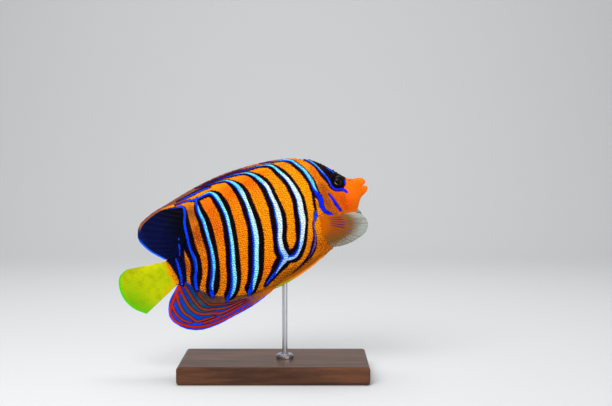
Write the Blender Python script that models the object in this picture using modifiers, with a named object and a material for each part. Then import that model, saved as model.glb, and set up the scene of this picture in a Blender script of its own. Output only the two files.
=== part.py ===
# A life-size regal angelfish, nose up as it swims, held over a plain plinth by a turned rod.
# The fish is drawn in its own frame in millimetres: x forward along the body, y to its left, z up.
# An empty tilts that frame and lifts it, and the middle of the plinth's underside is the origin.

import math

import bmesh
import bpy

MM = 0.001  # metres in a millimetre
GAP = 0.3  # kept between nodes that touch
PAST_BOTH_FLANKS = 40.0  # half the depth of the slabs that part the body

# How the fish is held
NOSE_UP_DEG = 24.0
FIN_CLEARANCE = 23.0  # from the plinth's top to the lowest fin
LOWEST_FIN = 80.5  # how far the anal fin hangs under the fish's own origin, once it is tilted
ROD_ALONG_BODY = -6.0  # where the rod meets the belly, between the two pelvic fins
ROD_OFF_MIDDLE = 8.25  # how far in front of the plinth's middle it stands

# The stand
PLINTH_LENGTH = 150.0
PLINTH_DEPTH = 84.0
PLINTH_HEIGHT = 14.0
PLINTH_EDGE = 2.5
ROD_RADIUS = 2.1
ROD_FOOT_RADIUS = 7.0
ROD_FOOT_HEIGHT = 3.0
ROD_FOOT_EDGE = 1.2
ROD_FILLET = 1.5
ROD_RUNS_IN = 8.0  # how far it is drawn into the belly, before the belly is cut out of it

# The body, as sections across it: x, back, belly, height of the widest point, half width, edge.
# An edge over 1 draws the section in towards the fins at its top and bottom.
BODY_SECTIONS = [
    (-86.0, 10.6, -10.8, 0.0, 2.3, 1.0),
    (-80.0, 11.6, -11.6, 0.0, 4.0, 1.05),
    (-72.0, 16.0, -21.5, -1.0, 5.8, 1.15),
    (-62.0, 22.4, -31.6, -2.0, 7.8, 1.2),
    (-50.0, 29.2, -37.6, -2.0, 10.1, 1.22),
    (-35.0, 35.8, -41.2, -1.0, 12.5, 1.22),
    (-18.0, 40.8, -42.8, 0.0, 14.5, 1.22),
    (0.0, 43.6, -42.6, 0.0, 15.8, 1.2),
    (18.0, 44.6, -40.4, 0.0, 16.4, 1.15),
    (34.0, 43.6, -36.2, 0.0, 16.2, 1.1),
    (45.0, 41.2, -32.0, 0.0, 15.3, 1.05),
    (53.0, 37.0, -27.6, 0.0, 13.9, 1.0),
    (60.0, 29.8, -23.2, 0.5, 12.2, 0.97),
    (65.0, 23.2, -19.4, 1.0, 10.9, 0.95),
    (69.0, 17.8, -15.6, 1.5, 9.6, 0.95),
    (72.0, 13.9, -12.4, 1.5, 8.6, 0.95),
    (74.5, 11.3, -9.2, 1.5, 7.7, 0.95),
    (77.0, 10.1, -6.5, 1.6, 6.8, 0.95),
    (79.5, 9.7, -5.3, 1.7, 6.0, 0.95),
]
# The lips, as rings that fold into the mouth: top x and z, bottom x and z, corner x, y and z.
MOUTH_RINGS = [
    (82.0, 9.0, 81.2, -4.6, 79.6, 5.3, 1.6),
    (84.3, 7.6, 83.3, -3.5, 80.6, 5.0, 1.6),
    (85.3, 5.4, 85.0, -1.4, 81.2, 4.6, 1.65),
    (85.2, 3.6, 85.1, 0.2, 81.3, 4.1, 1.7),
    (84.0, 2.5, 84.2, 1.1, 81.0, 3.6, 1.75),
    (82.4, 2.2, 82.4, 1.4, 80.6, 3.2, 1.78),
]
MOUTH_RING_STEP = 1.5  # how far apart the rings count along the body's own length
RING_POINTS = 44
TRUNK_STEP = 6.0  # between sections of the trunk
HEAD_STEP = 1.9  # between sections of the head
HEAD_STARTS = 40.0

# Where the head's gill cover ends, as height and x, and where the tail stem begins
GILL_LINE = [(-34, 69.0), (-26, 60.0), (-18, 51.5), (-12, 47.2), (-6, 44.8), (0, 44.0),
             (6, 44.6), (13, 46.8), (20, 50.0), (28, 51.5), (38, 50.6), (48, 49.0)]
STEM_STARTS = -68.0
GILL_COVER_RISE = 0.9  # how far the gill cover's rear edge stands out
GILL_COVER_SPREAD = 5.0
GILL_OPENING = (-25.0, 18.0)  # its lowest and highest point
GILL_OPENING_FADE = 5.0

# The cheek: a ridge behind it and a spine at its lower corner
CHEEK_LINE = [(-14, 58.6), (-8, 58.0), (0, 56.6), (8, 55.6), (16, 55.6)]
CHEEK_RISE = 0.6
CHEEK_SPREAD = 1.8
CHEEK_RANGE = (-12.0, 9.5)  # its lowest and highest point
CHEEK_RANGE_FADE = 3.0
CHEEK_SPINE_ROOT = (58.0, -9.5)
CHEEK_SPINE_LENGTH = 9.0
CHEEK_SPINE_RADIUS = 1.1
CHEEK_SPINE_TIP_RADIUS = 0.2
CHEEK_SPINE_OFF_CHEEK = 1.0
CHEEK_SPINE_DROP_DEG = 24.0

# The eye, and the raised rim round it
EYE_CENTRE = (65.4, 13.1)
EYE_RADIUS = 4.9
EYE_DEPTH = 3.5
EYE_STANDS_OUT = 1.5
ORBIT_RISE = 0.5
ORBIT_SPREAD = 1.4
ORBIT_RING = 5.8  # the radius at which the rim is highest

# Nostrils in front of the eye, as x, z and the radius of the rim
NOSTRILS = [(73.6, 9.6, 0.85), (76.4, 7.8, 1.0)]
NOSTRIL_RIM = 0.42
NOSTRIL_PIT = 0.72  # the pit's share of the rim's radius
NOSTRIL_PIT_DEPTH = 0.9
NOSTRIL_PIT_RISE = 0.2  # the pit's middle over the plain head

# Fins: where each leaves the body and where its edge runs, as x and z, front to back.
# THICK holds the thickness at the root, at a ray's tip and between the rays.
# NOTCH draws the edge in between the spines, and BOW bends the rays as a share of their length.
FIN_ROOT_TAPER = 2.2  # how fast the root's thickness is lost
DORSAL_ROOT = [(46.5, 38.0), (18.0, 41.6), (-7.0, 40.0), (-31.0, 34.2), (-53.0, 24.8), (-68.0, 15.8),
               (-79.0, 9.6)]
DORSAL_EDGE = [(42.0, 44.0), (30.4, 48.1), (8.0, 53.0), (-18.5, 55.9), (-43.2, 55.0), (-66.0, 52.2),
               (-83.0, 49.8), (-94.6, 45.0), (-99.5, 35.8), (-96.0, 24.4), (-87.6, 12.6)]
DORSAL_SPINES = 14
DORSAL_RAYS = 18
DORSAL_THICK = (4.4, 1.1, 0.6)
DORSAL_NOTCH = 0.9
DORSAL_BOW = -0.03
ANAL_ROOT = [(-11.5, -40.6), (-36.0, -38.6), (-52.0, -34.6), (-64.0, -28.0), (-73.0, -18.4), (-79.5, -9.6)]
ANAL_EDGE = [(-14.6, -45.0), (-24.0, -46.9), (-38.0, -49.1), (-55.0, -50.9), (-71.0, -51.9), (-85.2, -50.2),
             (-95.5, -43.2), (-101.8, -32.0), (-98.4, -21.5), (-87.8, -12.1)]
ANAL_SPINES = 3
ANAL_RAYS = 18
ANAL_THICK = (4.2, 1.1, 0.6)
ANAL_NOTCH = 0.6
ANAL_BOW = 0.03
CAUDAL_ROOT = [(-86.3, 10.0), (-86.3, 0.0), (-86.3, -10.2)]
CAUDAL_EDGE = [(-118.2, 17.4), (-125.6, 14.2), (-129.7, 6.0), (-129.9, -4.4), (-125.8, -13.8),
               (-118.0, -21.7)]
CAUDAL_RAYS = 17
CAUDAL_THICK = (4.2, 0.9, 0.55)
CAUDAL_CUP = 2.5  # how far the tail's edges curl to the fish's right
PECTORAL_ROOT = [(41.0, -5.6), (39.8, -12.0), (37.6, -18.0)]
PECTORAL_EDGE = [(67.1, -12.3), (72.3, -17.2), (73.2, -23.2), (69.8, -28.7), (60.8, -32.2), (49.3, -33.1),
                 (39.4, -31.2)]
PECTORAL_RAYS = 16
PECTORAL_THICK = (3.0, 0.75, 0.5)
PECTORAL_SUNK = 2.0  # how deep its root sits in the flank
PECTORAL_REACH = 27.0  # how far its tip stands out from the root
PECTORAL_LIFT = 1.6  # over 1, it leaves the flank steeply
PECTORAL_SWEEP = 1.3  # over 1, it bends forward late
PELVIC_ROOT = [(31.5, -36.0), (29.6, -34.6), (27.6, -33.2)]
PELVIC_EDGE = [(-12.0, -45.6), (-9.6, -43.6), (-4.0, -40.0)]
PELVIC_RAYS = 6
PELVIC_THICK = (2.4, 0.9, 0.6)
PELVIC_APART = 4.4  # half the space between the two fins' lower edges
PELVIC_SUNK = 1.6
PELVIC_CLEAR = 1.3  # how far it lies off the belly beyond its root
PELVIC_ROOT_SHARE = 0.22  # the share of its length in which it leaves the belly
PELVIC_ROUND = 1.5  # how softly it turns from under the belly to beside it
LONG_FIN_ROWS = 8  # steps from root to edge in the dorsal and the anal fin
SHORT_FIN_ROWS = 9  # and in the others

SKIN_ORANGE = (0.90, 0.29, 0.02, 1.0)
TAIL_YELLOW = (0.72, 0.74, 0.02, 1.0)
FIN_BROWN = (0.45, 0.16, 0.05, 1.0)
FIN_RUST = (0.50, 0.10, 0.08, 1.0)
FIN_AMBER = (0.80, 0.30, 0.06, 1.0)
EYE_DARK = (0.02, 0.02, 0.03, 1.0)
PLINTH_WOOD = (0.10, 0.05, 0.03, 1.0)
ROD_STEEL = (0.60, 0.60, 0.62, 1.0)


def hermite(at, values, t):
    """A smooth curve through values, a list of tuples that stand at the places in at."""
    t = min(max(t, at[0]), at[-1])
    i = 0
    while i < len(at) - 2 and t > at[i + 1]:
        i += 1
    span = at[i + 1] - at[i]
    share = (t - at[i]) / span

    def slope(k):
        if k == 0 or k == len(at) - 1:
            a, b = (0, 1) if k == 0 else (k - 1, k)
            return [(q - p) / (at[b] - at[a]) for p, q in zip(values[a], values[b])]
        before, after = at[k] - at[k - 1], at[k + 1] - at[k]
        return [
            ((r - q) / after * before + (q - p) / before * after) / (before + after)
            for p, q, r in zip(values[k - 1], values[k], values[k + 1])
        ]

    square, cube = share * share, share * share * share
    start, leave = 2 * cube - 3 * square + 1, (cube - 2 * square + share) * span
    end, arrive = 3 * square - 2 * cube, (cube - square) * span
    rows = zip(values[i], slope(i), values[i + 1], slope(i + 1))
    return tuple(start * a + leave * m + end * b + arrive * n for a, m, b, n in rows)


def path(points):
    """A function from 0 to 1 along the smooth curve through points."""
    at = [0.0]
    for a, b in zip(points, points[1:]):
        at.append(at[-1] + math.dist(a, b))
    return lambda t: hermite(at, points, t * at[-1])


def line_at(knots, height):
    """The x of a line that is given as height and x."""
    return hermite([z for z, x in knots], [(x,) for z, x in knots], height)[0]


def body_rings():
    """Where each ring stands along the body, and its top, bottom and widest point."""
    places, rings = [], []
    for x, back, belly, widest, half_width, edge in BODY_SECTIONS:
        places.append(x)
        rings.append((x, back, x, belly, x, half_width, widest, edge))
    for number, (top_x, top_z, low_x, low_z, side_x, side_y, side_z) in enumerate(MOUTH_RINGS, 1):
        places.append(BODY_SECTIONS[-1][0] + number * MOUTH_RING_STEP)
        rings.append((top_x, top_z, low_x, low_z, side_x, side_y, side_z, BODY_SECTIONS[-1][5]))
    return places, rings


RING_PLACES, RINGS = body_rings()


def half_width_at(x, z):
    """How far the plain body's surface is from the middle, at a place on its flank."""
    _, back, _, belly, _, half_width, widest, edge = hermite(RING_PLACES, RINGS, x)
    share = (z - widest) / (back - widest if z > widest else widest - belly)
    return half_width * max(0.0, 1.0 - share * share) ** (edge / 2)


def bump(distance, spread):
    return math.exp(-((distance / spread) ** 2))


def fade(value, start, end):
    """0 at start, 1 at end, and smooth between."""
    share = min(max((value - start) / (end - start), 0.0), 1.0)
    return share * share * (3 - 2 * share)


def within(value, ends, soft):
    """1 between the two ends, 0 outside them, and smooth over soft to either side of each."""
    low, high = ends
    return fade(value, low - soft, low + soft) * (1 - fade(value, high - soft, high + soft))


def head_relief(x, z):
    """How far the gill cover, cheek and eye rim stand out from the plain head."""
    gill = bump(x - line_at(GILL_LINE, z), GILL_COVER_SPREAD) * within(z, GILL_OPENING, GILL_OPENING_FADE)
    cheek = bump(x - line_at(CHEEK_LINE, z), CHEEK_SPREAD) * within(z, CHEEK_RANGE, CHEEK_RANGE_FADE)
    orbit = bump(math.dist((x, z), EYE_CENTRE) - ORBIT_RING, ORBIT_SPREAD)
    return GILL_COVER_RISE * gill + CHEEK_RISE * cheek + ORBIT_RISE * orbit


def new_object(name, mesh, collection):
    made = bpy.data.objects.new(name, mesh)
    collection.objects.link(made)
    return made


def mesh_from(name, build):
    """A mesh that build fills, with its faces turned outwards."""
    work = bmesh.new()
    build(work)
    bmesh.ops.recalc_face_normals(work, faces=work.faces)
    mesh = bpy.data.meshes.new(name)
    work.to_mesh(mesh)
    work.free()
    return mesh


def ring_stations():
    """The places of the loft's rings: wide apart on the trunk, close on the head, each ring of the mouth."""
    stations = [RING_PLACES[0]]
    for start, end in zip(RING_PLACES, RING_PLACES[1:]):
        step = HEAD_STEP if end > HEAD_STARTS else TRUNK_STEP
        count = max(1, round((end - start) / step))
        stations += [start + (end - start) * k / count for k in range(1, count + 1)]
    return stations


def body_mesh(name, grow=0.0, relief=False):
    """The whole body from tail stem to mouth as one closed loft, grown outwards where asked."""

    def build(work):
        rows = []
        for place in ring_stations():
            top_x, top_z, low_x, low_z, side_x, side_y, side_z, edge = hermite(RING_PLACES, RINGS, place)
            row = []
            for number in range(RING_POINTS):
                angle = 2 * math.pi * number / RING_POINTS
                up, out = math.cos(angle), math.sin(angle)
                end_x, end_z = (top_x, top_z) if up > 0 else (low_x, low_z)
                x = side_x + (end_x - side_x) * up * up
                z = side_z + (end_z - side_z) * abs(up)
                y = side_y * abs(out) ** edge
                if relief:
                    y += head_relief(x, z) * min(1.0, 2 * abs(out))
                row.append(work.verts.new((x * MM, math.copysign(y, out) * MM, z * MM)))
            rows.append(row)
        for near, far in zip(rows, rows[1:]):
            for k in range(RING_POINTS):
                after = (k + 1) % RING_POINTS
                work.faces.new((near[k], near[after], far[after], far[k]))
        work.faces.new(rows[0])
        middle = work.verts.new(sum((v.co for v in rows[-1]), rows[-1][0].co * 0) / RING_POINTS)
        for k in range(RING_POINTS):
            work.faces.new((rows[-1][k], rows[-1][(k + 1) % RING_POINTS], middle))
        bmesh.ops.recalc_face_normals(work, faces=work.faces)
        work.normal_update()
        for vert, normal in [(v, v.normal * v.calc_shell_factor()) for v in work.verts]:
            vert.co += normal * grow * MM

    return mesh_from(name, build)


def slab(name, outline, collection):
    """A flat outline in x and z that reaches past both flanks."""
    curve = bpy.data.curves.new(name, "CURVE")
    curve.dimensions = "2D"
    curve.fill_mode = "BOTH"
    curve.extrude = PAST_BOTH_FLANKS * MM
    spline = curve.splines.new("POLY")
    spline.points.add(len(outline) - 1)
    for point, (x, z) in zip(spline.points, outline):
        point.co = (x * MM, z * MM, 0, 1)
    spline.use_cyclic_u = True
    guide = new_object(name + "_outline", curve, collection)
    guide.rotation_euler = (math.pi / 2, 0, 0)
    made = mesh_of(guide, name, collection)
    bpy.data.objects.remove(guide)
    return made


def mesh_of(source, name, collection):
    """A mesh object with what source shows, placed in its mesh, with its loose caps welded."""
    bpy.context.view_layer.update()
    evaluated = source.evaluated_get(bpy.context.evaluated_depsgraph_get())
    mesh = bpy.data.meshes.new_from_object(evaluated)
    mesh.transform(source.matrix_world)
    work = bmesh.new()
    work.from_mesh(mesh)
    bmesh.ops.remove_doubles(work, verts=work.verts, dist=1e-6)
    bmesh.ops.recalc_face_normals(work, faces=work.faces)
    work.to_mesh(mesh)
    work.free()
    return new_object(name, mesh, collection)


def boolean(target, operation, other):
    """Adds a Boolean with an object, or with a collection of closed pieces."""
    modifier = target.modifiers.new(operation.lower(), "BOOLEAN")
    modifier.operation = operation
    if isinstance(other, bpy.types.Collection):
        modifier.operand_type = "COLLECTION"
        modifier.collection = other
    else:
        modifier.object = other


def keep_largest(mesh):
    """Leaves a mesh only its largest closed surface."""
    work = bmesh.new()
    work.from_mesh(mesh)
    bmesh.ops.remove_doubles(work, verts=work.verts, dist=1e-7)
    unseen, groups = set(work.faces), []
    while unseen:
        group, edge_of_group = set(), [unseen.pop()]
        while edge_of_group:
            face = edge_of_group.pop()
            group.add(face)
            near = {f for edge in face.edges for f in edge.link_faces} & unseen
            unseen -= near
            edge_of_group += near
        groups.append(group)
    largest = max(groups, key=lambda g: sum(f.calc_area() for f in g))
    loose = [f for g in groups if g is not largest for f in g]
    bmesh.ops.delete(work, geom=loose, context="FACES")
    bmesh.ops.triangulate(work, faces=work.faces)
    work.to_mesh(mesh)
    work.free()


def settle(target):
    """Applies the modifiers of target and keeps its largest closed surface."""
    bpy.context.view_layer.update()
    evaluated = target.evaluated_get(bpy.context.evaluated_depsgraph_get())
    mesh = bpy.data.meshes.new_from_object(evaluated)
    target.modifiers.clear()
    target.data = mesh
    keep_largest(mesh)


def finish_node(target, colour, roughness=0.5, metallic=0.0):
    """Gives a node its material and shades its round sides smooth."""
    material = bpy.data.materials.new(target.name)
    material.use_nodes = True
    shader = material.node_tree.nodes["Principled BSDF"]
    shader.inputs["Base Color"].default_value = colour
    shader.inputs["Roughness"].default_value = roughness
    shader.inputs["Metallic"].default_value = metallic
    target.data.materials.clear()
    target.data.materials.append(material)
    target.data.shade_smooth()
    target.data.set_sharp_from_angle(angle=math.radians(40))


def primitive(add, name, collection, location, scale=(1, 1, 1), rotation=(0, 0, 0), **sizes):
    """A primitive in the fish's frame, with its place and scale in its mesh."""
    add(location=tuple(v * MM for v in location), rotation=rotation, **sizes)
    raw = bpy.context.object
    raw.scale = scale
    made = mesh_of(raw, name, collection)
    bpy.data.objects.remove(raw)
    return made


def front_region(shift):
    """All that is in front of the gill line, which can be shifted."""
    heights = [60 - 4 * k for k in range(28)]
    line = [(line_at(GILL_LINE, z) + shift, z) for z in heights]
    return line + [(130, heights[-1]), (130, heights[0])]


def rear_region(shift):
    """All that is behind the line where the tail stem begins."""
    line = STEM_STARTS + shift
    return [(line, 70), (line, -70), (-150, -70), (-150, 70)]


def eye_place(side):
    """Where an eye's ball is centred, out from the middle."""
    x, z = EYE_CENTRE
    return (x, side * (half_width_at(x, z) + EYE_STANDS_OUT - EYE_DEPTH), z)


def ball(name, centre, radius, depth, collection, segments=24, rings=12):
    """A ball that is flattened across the fish, with its poles to the sides."""
    return primitive(
        bpy.ops.mesh.primitive_uv_sphere_add, name, collection, centre, scale=(1, 1, depth / radius),
        rotation=(math.pi / 2, 0, 0), segments=segments, ring_count=rings, radius=radius * MM,
    )


def nostril_pieces(side, rims, pits):
    """A rim that is joined to the head and a pit that is cut into it, for each nostril."""
    for number, (x, z, radius) in enumerate(NOSTRILS):
        y = half_width_at(x, z)
        lean = math.atan2(half_width_at(x, z - 1) - half_width_at(x, z + 1), 2)
        primitive(
            bpy.ops.mesh.primitive_torus_add, f"nostril_rim_{number}_{side}", rims, (x, side * y, z),
            rotation=(side * (lean - math.pi / 2), 0, 0), major_segments=12, minor_segments=6,
            major_radius=radius * MM, minor_radius=NOSTRIL_RIM * MM,
        )
        centre = (x, side * (y + NOSTRIL_PIT_RISE), z)
        ball(f"nostril_pit_{number}_{side}", centre, radius * NOSTRIL_PIT, NOSTRIL_PIT_DEPTH, pits, 10, 6)


def cheek_spine(side, collection):
    """The spine at the gill cover's lower corner, pointing back and a little down."""
    x, z = CHEEK_SPINE_ROOT
    drop = math.radians(CHEEK_SPINE_DROP_DEG)
    middle = CHEEK_SPINE_LENGTH / 2
    y = half_width_at(x - middle, z) + CHEEK_SPINE_OFF_CHEEK
    centre = (x - middle * math.cos(drop), side * y, z - middle * math.sin(drop))
    primitive(
        bpy.ops.mesh.primitive_cone_add, f"cheek_spine_{side}", collection, centre,
        rotation=(0, -math.pi / 2 - drop, 0), vertices=8, radius1=CHEEK_SPINE_RADIUS * MM,
        radius2=CHEEK_SPINE_TIP_RADIUS * MM, depth=CHEEK_SPINE_LENGTH * MM,
    )


def build_head(fish, helpers):
    head = new_object("head", body_mesh("head", relief=True), fish)
    boolean(head, "INTERSECT", slab("in_front_of_gills", front_region(0), helpers))
    joined = bpy.data.collections.new("joined to the head")
    pits = bpy.data.collections.new("cut from the head")
    helpers.children.link(joined)
    helpers.children.link(pits)
    for side in (-1, 1):
        nostril_pieces(side, joined, pits)
        cheek_spine(side, joined)
        ball(f"eye_socket_{side}", eye_place(side), EYE_RADIUS + GAP, EYE_DEPTH + GAP, pits)
    boolean(head, "UNION", joined)
    boolean(head, "DIFFERENCE", pits)
    settle(head)
    for piece in list(joined.objects):
        bpy.data.objects.remove(piece)
    finish_node(head, SKIN_ORANGE)


def build_trunk_and_stem(fish, helpers):
    trunk = new_object("trunk", body_mesh("trunk"), fish)
    boolean(trunk, "DIFFERENCE", slab("head_and_gap", front_region(-GAP), helpers))
    boolean(trunk, "DIFFERENCE", slab("stem_and_gap", rear_region(0), helpers))
    settle(trunk)
    finish_node(trunk, SKIN_ORANGE)
    stem = new_object("tail_stem", body_mesh("tail_stem"), fish)
    boolean(stem, "INTERSECT", slab("behind_trunk", rear_region(-GAP), helpers))
    settle(stem)
    finish_node(stem, SKIN_ORANGE)


def build_eyes(fish):
    for name, side in (("eye_right", -1), ("eye_left", 1)):
        eye = ball(name, eye_place(side), EYE_RADIUS, EYE_DEPTH, fish)
        finish_node(eye, EYE_DARK, roughness=0.1)


def ribbed_fin(name, root, edge, rays, rows, thick, place, collection, notch=0.0, spines=0, bow=0.0):
    """A fin as a sheet between its root and its edge, thickest at the root and along each ray.

    place turns a point of the fin's outline into the fish's frame.
    """
    root_path, edge_path = path(root), path(edge)
    root_thick, ray_thick, web_thick = thick
    columns = 2 * rays - 1
    work = bmesh.new()
    group = work.verts.layers.deform.verify()
    grid = []
    for column in range(columns):
        along = column / (columns - 1)
        on_ray = column % 2 == 0
        (root_x, root_z), (edge_x, edge_z) = root_path(along), edge_path(along)
        if not on_ray and column < 2 * spines:
            length = math.dist((root_x, root_z), (edge_x, edge_z))
            edge_x += (root_x - edge_x) * notch / length
            edge_z += (root_z - edge_z) * notch / length
        line = []
        for row in range(rows + 1):
            out = row / rows
            arch = 4 * out * (1 - out) * bow
            x = root_x + (edge_x - root_x) * out + arch * (edge_z - root_z)
            z = root_z + (edge_z - root_z) * out - arch * (edge_x - root_x)
            tip_thick = ray_thick if on_ray else web_thick
            vert = work.verts.new([v * MM for v in place(x, z, out, along)])
            at_root = (1 - out) ** FIN_ROOT_TAPER
            vert[group][0] = (tip_thick + (root_thick - tip_thick) * at_root) / root_thick
            line.append(vert)
        grid.append(line)
    for left, right in zip(grid, grid[1:]):
        for row in range(rows):
            work.faces.new((left[row], right[row], right[row + 1]))
            work.faces.new((left[row], right[row + 1], left[row + 1]))
    mesh = bpy.data.meshes.new(name)
    work.to_mesh(mesh)
    work.free()
    fin = new_object(name, mesh, collection)
    fin.vertex_groups.new(name="thickness")
    shell = fin.modifiers.new("thickness", "SOLIDIFY")
    shell.thickness = root_thick * MM
    shell.offset = 0
    shell.vertex_group = "thickness"
    return fin


def in_the_middle(x, z, out, along):
    return (x, 0.0, z)


def cupped(x, z, out, along):
    """The tail fin, whose upper and lower edges curl to the fish's right."""
    return (x, -CAUDAL_CUP * out * (2 * along - 1) ** 2, z)


def flared(side):
    """A pectoral fin, which leaves the flank steeply and then sweeps forward."""
    root = path(PECTORAL_ROOT)
    edge = path(PECTORAL_EDGE)

    def place(x, z, out, along):
        (root_x, root_z), (edge_x, edge_z) = root(along), edge(along)
        forward = out ** PECTORAL_SWEEP
        reach = PECTORAL_REACH * math.dist(root(along), edge(along)) / math.dist(root(0.3), edge(0.3))
        y = half_width_at(root_x, root_z) - PECTORAL_SUNK + reach * (1 - (1 - out) ** PECTORAL_LIFT)
        return (root_x + (edge_x - root_x) * forward, side * y, root_z + (edge_z - root_z) * forward)

    return place


def folded(side):
    """A pelvic fin, which lies back along the belly and a little away from it."""

    def place(x, z, out, along):
        off_belly = (PELVIC_SUNK + PELVIC_CLEAR) * fade(out, 0.0, PELVIC_ROOT_SHARE) - PELVIC_SUNK
        under = PELVIC_APART + off_belly
        beside = half_width_at(x, z) + off_belly
        together = math.hypot(under - beside, PELVIC_ROUND)
        return (x, side * (under + beside + together) / 2, z)

    return place


def build_fins(fish, helpers):
    grown = new_object("body_and_gap", body_mesh("body_and_gap", grow=GAP), helpers)
    dorsal = ribbed_fin(
        "dorsal_fin", DORSAL_ROOT, DORSAL_EDGE, DORSAL_SPINES + DORSAL_RAYS, LONG_FIN_ROWS, DORSAL_THICK,
        in_the_middle, fish, notch=DORSAL_NOTCH, spines=DORSAL_SPINES, bow=DORSAL_BOW,
    )
    anal = ribbed_fin(
        "anal_fin", ANAL_ROOT, ANAL_EDGE, ANAL_SPINES + ANAL_RAYS, LONG_FIN_ROWS, ANAL_THICK,
        in_the_middle, fish, notch=ANAL_NOTCH, spines=ANAL_SPINES, bow=ANAL_BOW,
    )
    for fin in (dorsal, anal):
        boolean(fin, "DIFFERENCE", grown)
        settle(fin)
    finish_node(dorsal, FIN_BROWN)
    finish_node(anal, FIN_RUST)
    caudal = ribbed_fin(
        "caudal_fin", CAUDAL_ROOT, CAUDAL_EDGE, CAUDAL_RAYS, SHORT_FIN_ROWS,
        CAUDAL_THICK, cupped, fish,
    )
    settle(caudal)
    finish_node(caudal, TAIL_YELLOW)
    for name, side in (("right", -1), ("left", 1)):
        pectoral = ribbed_fin(
            "pectoral_fin_" + name, PECTORAL_ROOT, PECTORAL_EDGE, PECTORAL_RAYS, SHORT_FIN_ROWS,
            PECTORAL_THICK, flared(side), fish,
        )
        boolean(pectoral, "DIFFERENCE", grown)
        settle(pectoral)
        finish_node(pectoral, FIN_AMBER)
        pelvic = ribbed_fin(
            "pelvic_fin_" + name, PELVIC_ROOT, PELVIC_EDGE, PELVIC_RAYS, SHORT_FIN_ROWS,
            PELVIC_THICK, folded(side), fish,
        )
        boolean(pelvic, "DIFFERENCE", grown)
        settle(pelvic)
        finish_node(pelvic, FIN_AMBER)
    return grown


def in_the_room(x, z, origin_x, origin_z):
    """The place of a point of the fish's middle plane once the fish is tilted and lifted."""
    tilt = math.radians(NOSE_UP_DEG)
    return (
        origin_x + x * math.cos(tilt) - z * math.sin(tilt),
        origin_z + x * math.sin(tilt) + z * math.cos(tilt),
    )


def build_stand(stand, grown, belly_height):
    bpy.ops.mesh.primitive_cube_add(size=1, location=(0, 0, PLINTH_HEIGHT / 2 * MM))
    raw = bpy.context.object
    raw.scale = (PLINTH_LENGTH * MM, PLINTH_DEPTH * MM, PLINTH_HEIGHT * MM)
    plinth = mesh_of(raw, "stand_base", stand)
    bpy.data.objects.remove(raw)
    edges = plinth.modifiers.new("edges", "BEVEL")
    edges.width = PLINTH_EDGE * MM
    edges.segments = 3
    finish_node(plinth, PLINTH_WOOD, roughness=0.4)

    foot = PLINTH_HEIGHT + GAP
    top = belly_height + ROD_RUNS_IN
    shoulder = foot + ROD_FOOT_HEIGHT
    outline = [
        (0, top), (ROD_RADIUS, top), (ROD_RADIUS, shoulder + ROD_FILLET),
        (ROD_RADIUS + ROD_FILLET, shoulder), (ROD_FOOT_RADIUS - ROD_FOOT_EDGE, shoulder),
        (ROD_FOOT_RADIUS, shoulder - ROD_FOOT_EDGE), (ROD_FOOT_RADIUS, foot), (0, foot),
    ]
    mesh = bpy.data.meshes.new("stand_rod")
    lines = [(k, k + 1) for k in range(len(outline) - 1)]
    mesh.from_pydata([(radius * MM, 0, z * MM) for radius, z in outline], lines, [])
    rod = new_object("stand_rod", mesh, stand)
    rod.location.x = ROD_OFF_MIDDLE * MM
    turn = rod.modifiers.new("turn", "SCREW")
    turn.steps = turn.render_steps = 24
    turn.use_merge_vertices = True
    turn.merge_threshold = 0.00001
    boolean(rod, "DIFFERENCE", grown)
    settle(rod)
    finish_node(rod, ROD_STEEL, roughness=0.25, metallic=1.0)


def main():
    for old in list(bpy.data.objects):
        bpy.data.objects.remove(old)
    fish = bpy.data.collections.new("Regal angelfish")
    stand = bpy.data.collections.new("Stand")
    helpers = bpy.data.collections.new("Cutters")
    for collection in (fish, stand, helpers):
        bpy.context.scene.collection.children.link(collection)

    build_head(fish, helpers)
    build_trunk_and_stem(fish, helpers)
    build_eyes(fish)
    grown = build_fins(fish, helpers)

    origin_z = PLINTH_HEIGHT + FIN_CLEARANCE + LOWEST_FIN
    belly_x = ROD_ALONG_BODY
    belly_z = hermite(RING_PLACES, RINGS, belly_x)[3]
    rod_x, rod_top = in_the_room(belly_x, belly_z, 0, origin_z)
    pose = bpy.data.objects.new("fish_pose", None)
    bpy.context.scene.collection.objects.link(pose)
    pose.location = ((ROD_OFF_MIDDLE - rod_x) * MM, 0, origin_z * MM)
    pose.rotation_euler = (0, -math.radians(NOSE_UP_DEG), 0)
    for piece in list(fish.objects) + [grown]:
        piece.parent = pose
    build_stand(stand, grown, rod_top)

    for helper in helpers.all_objects:
        helper.hide_render = True
        helper.display_type = "WIRE"


main()
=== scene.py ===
import math

import bmesh
import bpy
import numpy as np
from mathutils import Matrix, Vector
from mathutils.kdtree import KDTree


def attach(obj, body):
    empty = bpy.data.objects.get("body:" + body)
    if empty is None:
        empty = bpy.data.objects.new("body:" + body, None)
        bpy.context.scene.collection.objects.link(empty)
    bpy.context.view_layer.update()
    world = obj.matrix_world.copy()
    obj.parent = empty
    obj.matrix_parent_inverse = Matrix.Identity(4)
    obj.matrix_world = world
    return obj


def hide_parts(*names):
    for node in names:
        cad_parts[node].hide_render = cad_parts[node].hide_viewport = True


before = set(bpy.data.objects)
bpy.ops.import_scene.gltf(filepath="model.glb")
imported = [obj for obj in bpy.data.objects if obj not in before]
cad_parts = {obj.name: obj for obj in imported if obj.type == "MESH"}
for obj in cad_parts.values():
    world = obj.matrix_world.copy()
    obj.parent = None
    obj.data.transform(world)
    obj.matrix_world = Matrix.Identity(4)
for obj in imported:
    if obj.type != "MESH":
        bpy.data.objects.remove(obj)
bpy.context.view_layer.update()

mm = 0.001

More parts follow.
